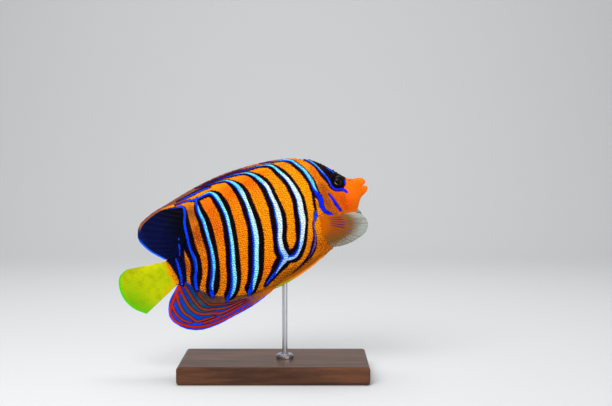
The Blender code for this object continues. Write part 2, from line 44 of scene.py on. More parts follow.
# The fish is drawn in its own frame in millimetres: x forward, y to its left, z up along its height.
# The pose tilts that frame nose up and lifts it over the plinth.
pose = {
    "noseUpDeg": 24.0,
    "acrossMm": -3.71,
    "aboveMm": 117.5,
}
fishToRoom = (
    Matrix.Translation((pose["acrossMm"] * mm, 0, pose["aboveMm"] * mm))
    @ Matrix.Rotation(-math.radians(pose["noseUpDeg"]), 4, "Y")
    @ Matrix.Scale(mm, 4)
)
turnToRoom = np.array(fishToRoom)[:3, :3]
shiftToRoom = np.array(fishToRoom)[:3, 3]


def inRoom(points):
    return np.asarray(points, float) @ turnToRoom.T + shiftToRoom


def inFish(points):
    return (np.asarray(points, float) - shiftToRoom) @ np.linalg.inv(turnToRoom).T


# Curves

def smoothAt(at, rows, t):  # a smooth curve through rows, which stand at the places in at
    at, rows = np.array(at, float), np.array(rows, float)
    t = np.clip(t, at[0], at[-1])
    gaps = np.diff(at)[:, None]
    rises = np.diff(rows, axis=0) / gaps
    slopes = np.vstack([rises[:1], rises[-1:]])
    if len(at) > 2:
        inner = (rises[1:] * gaps[:-1] + rises[:-1] * gaps[1:]) / (gaps[:-1] + gaps[1:])
        slopes = np.vstack([rises[:1], inner, rises[-1:]])
    i = np.clip(np.searchsorted(at, t, side="right") - 1, 0, len(at) - 2)
    span = gaps[i]
    s = ((t - at[i]) / span[:, 0])[:, None]
    return (
        (2 * s**3 - 3 * s**2 + 1) * rows[i]
        + (s**3 - 2 * s**2 + s) * span * slopes[i]
        + (3 * s**2 - 2 * s**3) * rows[i + 1]
        + (s**3 - s**2) * span * slopes[i + 1]
    )


def smoothPath(points):  # a function from 0 to 1 along the smooth curve through points
    points = np.array(points, float)
    steps = np.linalg.norm(np.diff(points[:, :2], axis=0), axis=1)
    at = np.concatenate([[0], np.cumsum(steps)])
    return lambda t: smoothAt(at, points, np.asarray(t, float) * at[-1])


def sampled(points):  # places along the smooth curve through points
    return smoothPath(points)(np.linspace(0, 1, 4 * len(points)))


def lineAt(knots, heights):  # the x of a line that is given as height and x
    shape = np.shape(heights)
    z = [k[0] for k in knots]
    x = [(k[1],) for k in knots]
    return smoothAt(z, x, np.ravel(heights))[:, 0].reshape(shape)


def bump(distance, spread):
    return np.exp(-((distance / spread) ** 2))


def fade(value, start, end):  # 0 at start, 1 at end, smooth between
    share = np.clip((value - start) / (end - start), 0, 1)
    return share * share * (3 - 2 * share)


def nearestOn(points, curve):  # distance to a sampled curve, its own values there, and the side
    best = np.full(len(points), 1e9)
    values = np.zeros((len(points), curve.shape[1] - 2))
    side = np.zeros(len(points))
    for a, b in zip(curve, curve[1:]):
        run = b[:2] - a[:2]
        away = points - a[:2]
        share = np.clip((away @ run) / max(run @ run, 1e-9), 0, 1)
        gap = np.linalg.norm(away - share[:, None] * run, axis=1)
        nearer = gap < best
        best[nearer] = gap[nearer]
        values[nearer] = (a[2:] + share[:, None] * (b[2:] - a[2:]))[nearer]
        side[nearer] = (run[0] * away[:, 1] - run[1] * away[:, 0])[nearer] / max(np.hypot(*run), 1e-9)
    return best, values, side


# The body's form

body = {
    # x, back, belly, height of the widest point, half width, edge
    "sections": [
        (-91, 11, -11.4, 0, 0.55, 1),
        (-88.5, 10.8, -11.2, 0, 1.6, 1),
        (-86, 10.6, -10.8, 0, 2.3, 1),
        (-80, 11.6, -11.6, 0, 4, 1.05),
        (-72, 16, -21.5, -1, 5.8, 1.15),
        (-62, 22.4, -31.6, -2, 7.8, 1.2),
        (-50, 29.2, -37.6, -2, 10.1, 1.22),
        (-35, 35.8, -41.2, -1, 12.5, 1.22),
        (-18, 40.8, -42.8, 0, 14.5, 1.22),
        (0, 43.6, -42.6, 0, 15.8, 1.2),
        (18, 44.6, -40.4, 0, 16.4, 1.15),
        (34, 43.6, -36.2, 0, 16.2, 1.1),
        (45, 41.2, -32, 0, 15.3, 1.05),
        (53, 37, -27.6, 0, 13.9, 1),
        (60, 29.8, -23.2, 0.5, 12.2, 0.97),
        (65, 23.2, -19.4, 1, 10.9, 0.95),
        (69, 17.8, -15.6, 1.5, 9.6, 0.95),
        (72, 13.9, -12.4, 1.5, 8.6, 0.95),
        (74.5, 11.3, -9.2, 1.5, 7.7, 0.95),
        (77, 10.1, -6.5, 1.6, 6.8, 0.95),
        (79.5, 9.7, -5.3, 1.7, 6, 0.95),
    ],
    # rings that fold over the lips into the mouth: top x and z, bottom x and z, corner x, y and z
    "lips": [
        (82, 9, 81.2, -4.6, 79.6, 5.3, 1.6),
        (84.3, 7.6, 83.3, -3.5, 80.6, 5, 1.6),
        (85.3, 5.4, 85, -1.4, 81.2, 4.6, 1.65),
        (85.2, 3.6, 85.1, 0.2, 81.3, 4.1, 1.7),
        (84, 2.5, 84.2, 1.1, 81, 3.6, 1.75),
        (82.4, 2.05, 82.4, 1.5, 80.6, 3.2, 1.78),
    ],
    "lipStep": 1.5,
    "ringPoints": 300,
    "trunkStep": 0.95,
    "headStep": 0.36,
    "headStarts": 38.0,
    "gillLine": [
        (-34, 69), (-26, 60), (-18, 51.5), (-12, 47.2), (-6, 44.8), (0, 44), (6, 44.6), (13, 46.8),
        (20, 50), (28, 51.5), (38, 50.6), (48, 49),
    ],
    "gillRise": 0.9,
    "gillSpread": 5.0,
    "gillOpening": (-25.0, 18.0),
    "gillStep": (-0.55, 0.1),  # the cover's edge steps up between these, from its line
    "cheekLine": [(-14, 58.6), (-8, 58), (0, 56.6), (8, 55.6), (16, 55.6)],
    "cheekRise": 0.6,
    "cheekSpread": 1.8,
    "cheekEnds": (-15.0, -9.0, 7.0, 12.0),
    "cheekSides": (0.45, 1.2),  # the cheek's rear edge falls off more steeply
    "eye": (65.4, 13.1),
    "eyeRadius": 4.9,
    "orbitRise": 0.5,
    "orbitSpread": 1.4,
    "orbitGap": 0.9,
    "nostrils": [(73.6, 9.6, 0.85), (76.4, 7.8, 1.0)],
    "nostrilRim": (0.15, 0.32, 0.42),  # how far off it is, its rise and its spread
    "nostrilDepth": 0.9,
    # creases: x, z, depth and half width
    "creases": [
        [
            (80.6, 9.6, 0.1, 0.5), (79.7, 6.6, 0.3, 0.6), (79, 3.6, 0.34, 0.6), (78.9, 1.2, 0.3, 0.6),
            (79.2, -1.8, 0.3, 0.6), (79.4, -4.4, 0.1, 0.5),
        ],
        [
            (75.6, 4.6, 0.05, 0.5), (76.6, 1.6, 0.22, 0.55), (76.6, -1.6, 0.22, 0.55),
            (75.6, -4.6, 0.05, 0.5),
        ],
        [(45.6, -5.6, 0.05, 0.5), (49, -6.4, 0.24, 0.5), (53.4, -9.6, 0.2, 0.5), (57, -12.6, 0.05, 0.4)],
        [
            (71.6, -10.2, 0.05, 0.5), (67, -14.6, 0.22, 0.55), (61, -18.6, 0.22, 0.55),
            (54.6, -21.4, 0.05, 0.5),
        ],
        [(69.4, -13.2, 0.05, 0.4), (64.4, -17.2, 0.18, 0.45), (57.6, -21.2, 0.05, 0.4)],
        [(67.6, -15.6, 0.05, 0.4), (61.6, -19.8, 0.16, 0.4), (56.2, -22.8, 0.05, 0.4)],
    ],
    "finLobe": (38.6, -12.6, 3.4, 8.0, 0.7),  # the swelling at the side fin's root: x, z, reaches and rise
    "spineRoot": (58.0, -9.5),
    "spineLength": 9.0,
    "spineRadius": 1.1,
    "spineDropDeg": 24.0,
    "spineOffCheek": 1.0,
}


def ringTable():
    places, rings = [], []
    for x, back, belly, widest, halfWidth, edge in body["sections"]:
        places.append(x)
        rings.append((x, back, x, belly, x, halfWidth, widest, edge))
    for number, (topX, topZ, lowX, lowZ, sideX, sideY, sideZ) in enumerate(body["lips"], 1):
        places.append(body["sections"][-1][0] + number * body["lipStep"])
        rings.append((topX, topZ, lowX, lowZ, sideX, sideY, sideZ, body["sections"][-1][5]))
    return places, rings


ringPlaces, ringRows = ringTable()


def flankAt(x, z):  # how far the plain flank is from the fish's middle
    shape = np.shape(x)
    _, back, _, belly, _, halfWidth, widest, edge = smoothAt(ringPlaces, ringRows, np.ravel(x)).T
    z = np.ravel(z)
    share = np.where(z > widest, (z - widest) / (back - widest), (widest - z) / (widest - belly))
    return (halfWidth * np.maximum(0, 1 - share**2) ** (edge / 2)).reshape(shape)


def reliefAt(x, z):  # gill cover, cheek, eye rim, nostrils, fin root and creases over the plain flank
    low, high = body["gillOpening"]
    alongGill = fade(z, low - 6, low + 4) * (1 - fade(z, high - 4, high + 5))
    fromGill = x - lineAt(body["gillLine"], z)
    alongGill = alongGill * fade(fromGill, *body["gillStep"])
    rise = body["gillRise"] * bump(fromGill, body["gillSpread"]) * alongGill
    lowFrom, lowTo, highFrom, highTo = body["cheekEnds"]
    alongCheek = fade(z, lowFrom, lowTo) * (1 - fade(z, highFrom, highTo))
    fromCheek = x - lineAt(body["cheekLine"], z)
    spread = body["cheekSpread"] * np.where(fromCheek < 0, *body["cheekSides"])
    rise += body["cheekRise"] * bump(fromCheek, spread) * alongCheek
    eyeX, eyeZ = body["eye"]
    fromEye = np.hypot(x - eyeX, z - eyeZ)
    rise += body["orbitRise"] * bump(fromEye - body["eyeRadius"] - body["orbitGap"], body["orbitSpread"])
    rimGap, rimRise, rimSpread = body["nostrilRim"]
    for nostrilX, nostrilZ, radius in body["nostrils"]:
        away = np.hypot(x - nostrilX, z - nostrilZ)
        hole = body["nostrilDepth"] * bump(away, radius * 0.72)
        rise += rimRise * bump(away - radius - rimGap, rimSpread) - hole
    lobeX, lobeZ, reachX, reachZ, lobeRise = body["finLobe"]
    rise += lobeRise * bump(np.hypot((x - lobeX) / reachX, (z - lobeZ) / reachZ), 1.0)
    shape = np.shape(rise)
    flat = np.stack([np.ravel(x), np.ravel(z)], -1)
    for knots in body["creases"]:
        gap, values, _ = nearestOn(flat, sampled(knots))
        rise -= (values[:, 0] * bump(gap, values[:, 1])).reshape(shape)
    return rise


# The markings. A bar's knot is x, z, half width, the dark borders behind and ahead of it,
# and the pale share of its width. A bar of no width is a dark patch.

bars = {
    "gillBar": [
        (14, 51.6, 0.1, 0.15, 0.1, 0), (19.5, 50.3, 0.15, 0.3, 0.2, 0.1), (25, 48.2, 0.3, 0.4, 0.2, 0.25),
        (30.7, 46.8, 0.5, 0.6, 0.3, 0.4), (35.3, 45, 0.8, 1.1, 0.3, 0.5), (38.7, 42.5, 0.85, 2, 0.5, 0.6),
        (41.4, 38.3, 1, 2.3, 0.8, 0.75), (44.3, 33.1, 1.2, 2.5, 0.6, 0.8), (45.7, 27.3, 1.3, 2.5, 1, 0.8),
        (46.6, 21.2, 1.4, 2.1, 1.3, 0.8), (46.1, 16.2, 1.45, 2.1, 1.6, 0.5),
        (46.6, 11.9, 1.4, 1.8, 1, 0.1), (47.4, 6.5, 1.75, 0.7, 0.6, 0), (46.1, 1.7, 1.7, 0.4, 0.5, 0),
        (46.5, -2.9, 1.45, 0.3, 0.3, 0), (48.6, -6.4, 1.1, 0.5, 0.4, 0), (50.7, -8.7, 0.9, 0.4, 0.2, 0),
    ],
    "loopFront": [
        (-26, 54.6, 0.1, 0.1, 0.1, 0), (-5.5, 52.9, 0.2, 0.5, 0.4, 0), (4.7, 50.8, 0.35, 0.7, 0.4, 0.1),
        (13.1, 49.7, 0.45, 0.8, 0.2, 0.4), (17.4, 48.5, 0.5, 1.1, 0.4, 0.5),
        (22.2, 45.9, 0.8, 2.2, 0.5, 0.8), (25.8, 39.9, 1.1, 3, 2.2, 0.9), (29.4, 31.6, 1.4, 3, 2.5, 0.85),
        (31.3, 21.9, 1.85, 3.3, 2.3, 0.92), (31.4, 13.4, 2.15, 3.5, 2.5, 0.88),
        (29.2, 4.6, 2.35, 3.6, 2.8, 0.9), (27.4, -3, 2.4, 3.9, 2.3, 0.86),
        (23.7, -10.9, 1.85, 3.9, 2.6, 0.8), (19.7, -17.8, 1.8, 2.7, 2.8, 0.8),
        (14.9, -23.7, 1.55, 3.5, 3.2, 0.6), (9.1, -26.9, 2, 2.6, 3.3, 0.5), (4.5, -26.6, 2, 2.4, 2.4, 0.6),
    ],
    "loopRear": [
        (-34, 54.8, 0.1, 0.1, 0.1, 0), (-20.7, 53.5, 0.2, 0.5, 0.4, 0.1), (-11.4, 52, 0.4, 0.7, 0.4, 0.1),
        (-5.3, 50.7, 0.5, 0.6, 0.3, 0.3), (-0.2, 49.5, 0.55, 1.1, 0.5, 0.5),
        (5.2, 45.9, 0.9, 2.1, 0.9, 0.85), (8.7, 40.7, 1.4, 2.7, 2.4, 0.8), (12, 32.9, 1.6, 3.8, 2.8, 0.82),
        (12.2, 24.4, 1.6, 4, 3.1, 0.8), (12.3, 16.7, 2.05, 4.1, 2.9, 0.78), (11, 8.6, 2.6, 4.2, 3.8, 0.8),
        (8.4, -0.7, 2.25, 4.5, 3.8, 0.78), (4.3, -9.4, 2, 3.3, 3.9, 0.78),
        (2.3, -18.1, 2.45, 4, 3.9, 0.74), (1.8, -25.3, 2.8, 3, 2.6, 0.6),
        (-2.2, -28.2, 1.9, 4.4, 3.7, 0.6), (-7.8, -31.9, 1.1, 4, 2.5, 0.4),
        (-12.2, -34.5, 1.05, 2.6, 2, 0), (-17, -36.8, 0.7, 2.1, 2, 0), (-21.4, -39.9, 0.3, 1.6, 1.2, 0),
    ],
    "fingerTip": [(9.6, -22.4, 0, 2.2, 2.2, 0), (9, -24.2, 0, 2.6, 2.6, 0)],
    "middleBar": [
        (-41, 54.4, 0.1, 0.1, 0.1, 0), (-29.1, 52.5, 0.3, 0.6, 0.4, 0), (-21.4, 51.3, 0.45, 0.8, 0.3, 0.3),
        (-16.6, 50, 0.6, 1, 0.3, 0.4), (-12.3, 46.7, 1.1, 2.6, 0.9, 0.7),
        (-9.5, 41.5, 1.75, 3.1, 2.5, 0.75), (-8.2, 35, 1.85, 3.5, 3.7, 0.85),
        (-8.1, 27.7, 1.5, 3.8, 3.8, 0.75), (-8.7, 19.8, 1.85, 3.8, 4, 0.76),
        (-10, 10.7, 2.25, 3.1, 4.4, 0.76), (-12.8, -0.5, 2.5, 3.7, 4.5, 0.72),
        (-18.9, -14.5, 2.25, 4.1, 4.6, 0.7), (-23.6, -24.7, 2.4, 3.7, 4, 0.66),
        (-29.9, -33.8, 2, 3.1, 3.2, 0.5), (-35.6, -39.9, 1.5, 2.6, 1.6, 0),
        (-37.2, -41.2, 0.8, 0.5, 0.4, 0),
    ],
    "secondRearBar": [
        (-61.3, 48.6, 0.2, 0.4, 0.2, 0), (-50.1, 47.5, 0.45, 0.7, 0.3, 0),
        (-44.2, 46.2, 0.6, 1.7, 0.3, 0.1), (-37.2, 46.4, 0.7, 2, 0.3, 0.2),
        (-31.7, 46.1, 1.1, 2.2, 0.9, 0.4), (-28.9, 42.4, 1.7, 2.6, 2.9, 0.7),
        (-27.8, 37.5, 1.65, 3.2, 3.6, 0.68), (-27.2, 31.8, 1.5, 3.2, 4.5, 0.68),
        (-27, 25.7, 1.5, 3.6, 3.6, 0.7), (-28.2, 18.7, 1.45, 3.4, 4, 0.72),
        (-30.8, 7.6, 1.55, 4.1, 3.8, 0.72), (-34.5, -3.5, 1.85, 3.6, 3.8, 0.65),
        (-38.7, -14.1, 2.05, 3.6, 4.2, 0.65), (-42.7, -24.8, 2.3, 3.4, 3.5, 0.65),
        (-47.9, -32.8, 2, 3.2, 3.1, 0.5), (-53, -36.6, 1.6, 2.2, 1.8, 0.1), (-54.6, -38.2, 1, 0.5, 0.4, 0),
    ],
    "rearBar": [
        (-43.9, 45.9, 0.7, 0.3, 1.9, 0), (-45.3, 43, 0.9, 0.8, 3, 0), (-45.9, 40.1, 1.3, 1.4, 3, 0.3),
        (-46.2, 35.1, 1.35, 2.4, 3.6, 0.6), (-45.9, 28.9, 1.45, 2.8, 4, 0.7),
        (-46.6, 22.2, 1.4, 3.2, 4.4, 0.72), (-47.8, 13.9, 1.3, 3.4, 4.3, 0.74),
        (-49.6, 3.2, 1.4, 3, 3.6, 0.7), (-53, -7.5, 1.8, 2.7, 3.4, 0.62), (-57, -15.2, 1.5, 3, 4.6, 0.45),
        (-61.8, -23, 1.6, 2.9, 5, 0.4), (-63.6, -28.2, 1.5, 2.2, 3.2, 0), (-63.8, -31, 1.1, 0.5, 0.6, 0),
    ],
    "lastBar": [
        (-67.3, 47.8, 0.1, 0.3, 0.2, 0), (-61.2, 46.4, 0.4, 0.6, 0.3, 0), (-56.3, 44.8, 0.65, 1.6, 0.6, 0),
        (-56.9, 39.4, 0.85, 3, 1.6, 0), (-59.8, 33.9, 0.9, 4, 3.2, 0), (-62.9, 21.7, 0.9, 4, 4.2, 0),
        (-64.5, 12.1, 0.85, 4, 4.2, 0), (-64.9, 2.4, 1.25, 3, 3.8, 0.15),
        (-67.2, -5.5, 0.95, 3.5, 4.2, 0.1), (-71, -12.2, 1.1, 3.1, 4.2, 0),
        (-73.3, -20.2, 1.2, 1.2, 1.2, 0.1),
    ],
    "stemBar": [
        (-78.3, 9.4, 0.6, 2.4, 2.4, 0), (-79, 3.2, 0.85, 2.2, 2.4, 0), (-80.2, -4, 1, 2, 2.8, 0),
        (-82.5, -11.4, 0.7, 1.2, 1.8, 0),
    ],
    "stemStreak": [(-71.4, 18.7, 0.5, 1, 1, 0), (-72.6, 14.5, 0.5, 1, 1, 0), (-74.7, 10.5, 0.5, 1, 1, 0)],
    "stemDot": [(-69.6, 23.2, 0.5, 1, 1, 0), (-69.9, 22.2, 0.5, 1, 1, 0)],
    "finStreak": [
        (-30, 50.3, 0.4, 0.6, 0.4, 0), (-35.2, 50.9, 0.5, 0.7, 0.4, 0.1), (-47.8, 50.6, 0.6, 0.5, 0.3, 0),
        (-58.9, 50.5, 0.15, 0.2, 0.2, 0),
    ],
    # The bar behind the side fin's root is the fish's own violet marking. Its tail, which thins to a dark
    # line of no width along the pelvic fin's upper edge, is painted shadow of the pelvic fin.
    "finRootBarAndPelvicShadow": [
        (39.4, -1.5, 0.9, 0.7, 0.6, 0.1), (38.6, -3.9, 1.2, 0.6, 0.5, 0),
        (34.4, -9.3, 0.65, 0.5, 0.2, 0.2), (31.2, -19.6, 0.65, 1.1, 0.6, 0.3),
        (26.9, -26.7, 0.7, 1.9, 1.3, 0.2), (23, -30.6, 0.4, 1.5, 1.5, 0), (18.7, -33.3, 0.1, 1.5, 1.4, 0),
        (12.4, -36, 0, 0.9, 0.9, 0), (2, -39.4, 0, 0.4, 0.4, 0),
    ],
    "gillShade": [(44, 13.4, 0, 1.2, 1.2, 0), (42, 7.2, 0, 1.3, 1.2, 0), (40.4, 0.4, 0, 1, 1, 0)],
    "eyeLine": [
        (48.6, 39.8, 0.5, 0.8, 0.8, 0.1), (52.7, 35.4, 0.65, 1, 1, 0.4),
        (55.2, 30.4, 0.55, 1.4, 0.8, 0.35), (57.1, 24.7, 0.65, 2, 1.2, 0.25),
        (58.9, 19.9, 0.65, 2.4, 1, 0), (59.5, 15.2, 0.55, 1.7, 1, 0), (59.6, 12.1, 0.6, 1.5, 1, 0),
        (61.3, 8.7, 0.75, 0.9, 1, 0), (64.2, 7.1, 0.65, 0.9, 0.6, 0), (66.8, 6.1, 0.95, 0.6, 0.3, 0),
        (68.1, 4, 1.05, 0.1, 0.1, 0), (68.7, 2.7, 0.85, 0.1, 0.1, 0),
    ],
    "browLine": [(70.9, 11.8, 0.45, 0.3, 0.1, 0), (70.2, 9.3, 0.5, 0.3, 0.1, 0)],
    "foreheadLine": [(62, 26.4, 0.35, 0.5, 0.5, 0), (65.3, 21.2, 0.35, 0.5, 0.5, 0)],
    "cheekBar": [
        (55.4, 7.6, 0.5, 0.5, 0.2, 0), (56.2, 2.5, 0.92, 0.2, 0.1, 0), (57.1, -2.3, 1, 0.4, 0.3, 0),
        (57.9, -7.1, 0.95, 0.2, 0.3, 0), (58.4, -8.5, 0.85, 0.4, 0.1, 0),
    ],
}
violetBars = ("finRootBarAndPelvicShadow",)
darkAreas = {
    "mask": [
        (49.6, 41.5), (51.4, 38), (55.6, 31.8), (59.1, 21.9), (59.6, 14.2), (60.7, 9.9), (64, 7.2),
        (67.4, 6.9), (71, 9.4), (72, 12.6), (74.5, 16.5), (68, 27), (58, 38.5),
    ],
    "rear": [
        (-55.4, 44.2), (-57.4, 38.8), (-59.7, 33.7), (-62.4, 21.4), (-63.6, 11.8), (-64.8, 2.2),
        (-67.8, -5.7), (-72, -12.3), (-74.6, -22), (-82, -13.6), (-83.6, -6), (-86.4, 10.6), (-88, 13.4),
        (-93, 19), (-99, 26), (-102, 36), (-98, 45), (-90, 49), (-78, 50.2), (-66, 48.4),
    ],
}
spindle = [(-68.7, 12.3, 0.5), (-70, 6.3, 1.6), (-71.3, -0.1, 2), (-74.2, -7.7, 1.8), (-77.2, -13.7, 1.3)]


def polygonEdge(points, corners):  # signed distance to an outline, below 0 inside it
    corners = smoothPath(corners + corners[:1])(np.linspace(0, 1, len(corners) * 6 + 1))
    gap, _, _ = nearestOn(points, np.hstack([corners, np.zeros((len(corners), 1))]))
    inside = np.zeros(len(points), bool)
    x, z = points.T
    for (ax, az), (bx, bz) in zip(corners, corners[1:]):
        crosses = (az > z) != (bz > z)
        with np.errstate(divide="ignore", invalid="ignore"):
            left = x < (bx - ax) * (z - az) / (bz - az) + ax
        inside ^= crosses & left
    return np.where(inside, -gap, gap)


# The anal fin is blue with red lines below stripedFrom, which runs from its rear corner to its front.

redLines = [  # half width at the line's start and end, and its places
    (1.2, 0.24, [
        (-84.1, -11.6), (-88.3, -15.5), (-92.7, -19.7), (-97.1, -24.4), (-99.6, -28), (-100, -32.1),
        (-98.2, -37.4), (-93.9, -41.7), (-88.7, -45.8), (-82.7, -48.5), (-76.7, -50), (-70.2, -50.7),
        (-60, -50.8), (-51.4, -50.2), (-43, -49.4), (-33.6, -47.7), (-26.3, -46.3),
    ]),
    (1, 0.6, [
        (-95.8, -23.6), (-96.1, -25.9), (-95.7, -31.9), (-93.3, -37.4), (-89, -41.6), (-87.2, -42.8),
    ]),
    (0.72, 0.24, [
        (-79.1, -46.8), (-72.2, -47.6), (-65.1, -48), (-57, -48.1), (-50.6, -47.3), (-43.6, -46.7),
        (-35.4, -46.1), (-32.3, -45.8),
    ]),
    (1.15, 0.5, [
        (-89, -18), (-90.3, -22.9), (-90.4, -28.4), (-89.1, -34.2), (-86, -38.8), (-83.6, -43.3),
        (-77.9, -44.6), (-71.3, -45.4), (-68.2, -45.8),
    ]),
    (1.2, 0.22, [
        (-84.9, -13.9), (-84.9, -18.4), (-84.6, -24.4), (-83.6, -31.1), (-81.1, -36.4), (-76, -40.4),
        (-69.9, -42.4), (-63.8, -45.1), (-55.8, -45.6), (-47.3, -45), (-38.8, -44.8), (-35, -44.8),
    ]),
    (1.15, 0.24, [
        (-80.6, -12), (-79.9, -17.7), (-79, -23.8), (-77.7, -30.3), (-75.6, -35.4), (-73, -37.6),
        (-65.6, -40.4), (-58.5, -42.7), (-50.6, -43.2), (-42.5, -43.3), (-38.4, -43.6),
    ]),
    (1, 0.26, [
        (-73.4, -20.9), (-72.2, -27.2), (-69.9, -33), (-68.2, -35.3), (-60.8, -38.4), (-53.6, -40.9),
        (-46.6, -42.1), (-42.7, -42.7),
    ]),
]
stripedFrom = [
    (-84, -10.2), (-78.7, -10.8), (-74.9, -12.4), (-74.5, -16.1), (-72, -23.8), (-69.9, -30.6),
    (-68.2, -33.8), (-63.8, -36.4), (-56.7, -38.6), (-49.2, -40.5), (-40.8, -42.3), (-32.1, -44.2),
    (-26.3, -45.6),
]


def nearLine(flat, points, halfStart=0.0, halfEnd=0.0):  # distance to a smooth line's edge, and the side
    share = np.linspace(0, 1, 4 * len(points))[:, None]
    curve = np.hstack([sampled(points)[:, :2], halfStart + (halfEnd - halfStart) * share**2])
    gap, half, hand = nearestOn(flat, curve)
    return gap - half[:, 0], hand


seen = {
    "from": 900.0,  # the pattern is laid out as it shows from this far off the fish's side, mm
    "around": (35.1, 7.6),
    "lowerIsFarther": (2.64e-5, 5.94e-5),  # the low anal fin shows a little smaller, by its x and z
}


def asSeen(fishPoints):  # x and z where each point shows against the fish's middle plane
    grow = seen["from"] / (seen["from"] - np.abs(fishPoints[:, 1]))
    centre = np.array(seen["around"])
    return centre + (fishPoints[:, [0, 2]] - centre) * grow[:, None]


def barsAt(flat):  # distance to the nearest blue bar and dark border, and what the bar is like there
    count = len(flat)
    blue, ink = np.full(count, 99.0), np.full(count, 99.0)
    pale, side, violet = np.zeros(count), np.zeros(count), np.zeros(count)
    reach = 9.0  # wider than any bar with its borders
    for name, knots in bars.items():
        curve = sampled(knots)
        low, high = curve[:, :2].min(0) - reach, curve[:, :2].max(0) + reach
        near = np.nonzero(((flat > low) & (flat < high)).all(1))[0]
        gap, values, hand = nearestOn(flat[near], curve)
        half, behind, ahead, paleness = values.T
        border = behind + (ahead - behind) * fade(hand, -0.5, 0.5)
        ink[near] = np.minimum(ink[near], gap - half - border)
        if max(k[2] for k in knots) == 0:
            continue
        edge = gap - half
        closer = edge < blue[near]
        chosen = near[closer]
        blue[chosen] = edge[closer]
        pale[chosen] = paleness[closer]
        side[chosen] = (hand / np.maximum(half, 0.3))[closer]
        violet[chosen] = name in violetBars
    return blue, ink, 1 - 2 * pale, np.clip(side, -2, 2), violet


def markingsAt(fishPoints):  # what every vertex needs to know of the pattern
    flat = asSeen(fishPoints)
    blue, ink, paleFrom, side, violet = barsAt(flat)
    mask = polygonEdge(flat, darkAreas["mask"])
    rear = polygonEdge(flat, darkAreas["rear"])
    gapToSpindle, spindleHalf, _ = nearestOn(flat, sampled(spindle))
    red, rim, field = (np.full(len(flat), 9.0) for _ in range(3))
    belly = smoothAt(ringPlaces, ringRows, np.clip(flat[:, 0], -86, 60))[:, 3]
    near = np.nonzero((flat[:, 0] < 0) & (flat[:, 1] < belly + 6))[0]
    if len(near):
        rim[near] = nearLine(flat[near], fins["anal"]["edge"])[0]
        fromCentre = flat[near] - np.array(seen["around"])
        shown = flat[near] + fromCentre * (fromCentre @ np.array(seen["lowerIsFarther"]))[:, None]
        red[near] = np.min([nearLine(shown, line, *halves)[0] for *halves, line in redLines], 0)
        gap, hand = nearLine(shown, stripedFrom)
        field[near] = gap * np.sign(hand)
    crest, _ = nearLine(flat, fins["dorsal"]["edge"])
    return {
        "blueEdge": blue,
        "inkEdge": np.minimum(ink, mask),
        "rearEdge": np.maximum(rear, spindleHalf[:, 0] - gapToSpindle),
        "paleFrom": paleFrom,
        "barSide": side,
        "violetShare": violet,
        "redEdge": red,
        "finRim": rim,
        "fieldEdge": field,
        "stripeShare": fade(flat[:, 1] - belly, 3.4, 0.2) * fade(flat[:, 0], -18, -34),
        "crestDepth": crest,
    }


# Flesh colour and painted shade: zones as x, z, reach in x and in z, colour as seen, and strength

fleshBase = (255, 148, 0)
fleshAndShadeZones = [
    (38, 16, 14, 30, (255, 164, 0), 0.9),
    (40, 32, 10, 8, (255, 150, 0), 0.6),
    (2, 42, 12, 11, (255, 106, 2), 0.85),
    (-18, 40, 10, 12, (255, 106, 2), 0.8),
    (-18, 14, 9, 22, (255, 126, 2), 0.7),
    (-37, 38, 8, 10, (246, 100, 8), 0.8),
    (-37, 18, 7, 14, (228, 88, 8), 0.85),
    (-52, 38, 6, 9, (150, 70, 30), 0.95),
    (-54, 18, 7, 12, (176, 66, 20), 0.95),
    (-57, -4, 6, 10, (226, 100, 2), 0.8),
    (-40, -16, 26, 18, (250, 124, 0), 0.75),
    (-14, -26, 9, 6, (255, 112, 4), 0.8),
    (-60, -22, 12, 10, (226, 118, 2), 0.7),
    (-71.5, 0, 4, 12, (170, 68, 6), 0.95),
    (4, -38, 34, 6, (136, 68, 2), 0.85),
    (34, -28, 14, 10, (184, 84, 0), 0.85),
    (60, 0, 14, 16, (212, 68, 0), 0.9),
    (66, -7, 7, 8, (224, 74, 0), 0.85),
    (78, 4, 9, 14, (255, 94, 0), 0.95),
    # painted shade on the snout's top by the nostrils
    (75.4, 10.6, 2.4, 1.3, (120, 50, 8), 0.8),
    (50.5, 2, 4, 12, (140, 66, 10), 0.9),
    (51, 26, 5, 12, (212, 94, 4), 0.85),
    (53, 13, 4, 7, (140, 50, 14), 0.75),
    (40, 46, 10, 6, (246, 100, 4), 0.7),
    (-87, 0, 4, 14, (232, 142, 0), 0.95),
]


def linear(colour):  # colour as seen, 0 to 255, to the shader's own scale
    part = np.asarray(colour, float)[..., :3] / 255
    return np.where(part <= 0.04045, part / 12.92, ((part + 0.055) / 1.055) ** 2.4)


def rgba(colour):
    return (*(float(v) for v in linear(colour)), 1.0)


def fleshAndShadeAt(fishPoints):
    x, z = fishPoints[:, 0], fishPoints[:, 2]
    colour = np.tile(linear(fleshBase), (len(x), 1))
    for zoneX, zoneZ, reachX, reachZ, tone, strength in fleshAndShadeZones:
        weight = strength * np.exp(-(((x - zoneX) / reachX) ** 2) - ((z - zoneZ) / reachZ) ** 2)
        colour += weight[:, None] * (linear(tone) - colour)
    return colour


# Node trees: a wrapped socket takes Python's operators, and one method adds any other node

class Wire:
    def __init__(self, nodes, socket):
        self.nodes = nodes
        self.socket = socket

    def __add__(self, other):
        return self.nodes.maths("ADD", self, other)

    def __radd__(self, other):
        return self.nodes.maths("ADD", other, self)

    def __sub__(self, other):
        return self.nodes.maths("SUBTRACT", self, other)

    def __rsub__(self, other):
        return self.nodes.maths("SUBTRACT", other, self)

    def __mul__(self, other):
        return self.nodes.maths("MULTIPLY", self, other)

    def __rmul__(self, other):
        return self.nodes.maths("MULTIPLY", other, self)

    def fade(self, start, end):  # 0 at start, 1 at end
        settings = {"interpolation_type": "SMOOTHSTEP"}
        values = {"Value": self, "From Min": start, "From Max": end}
        return self.nodes.add("ShaderNodeMapRange", settings, values)


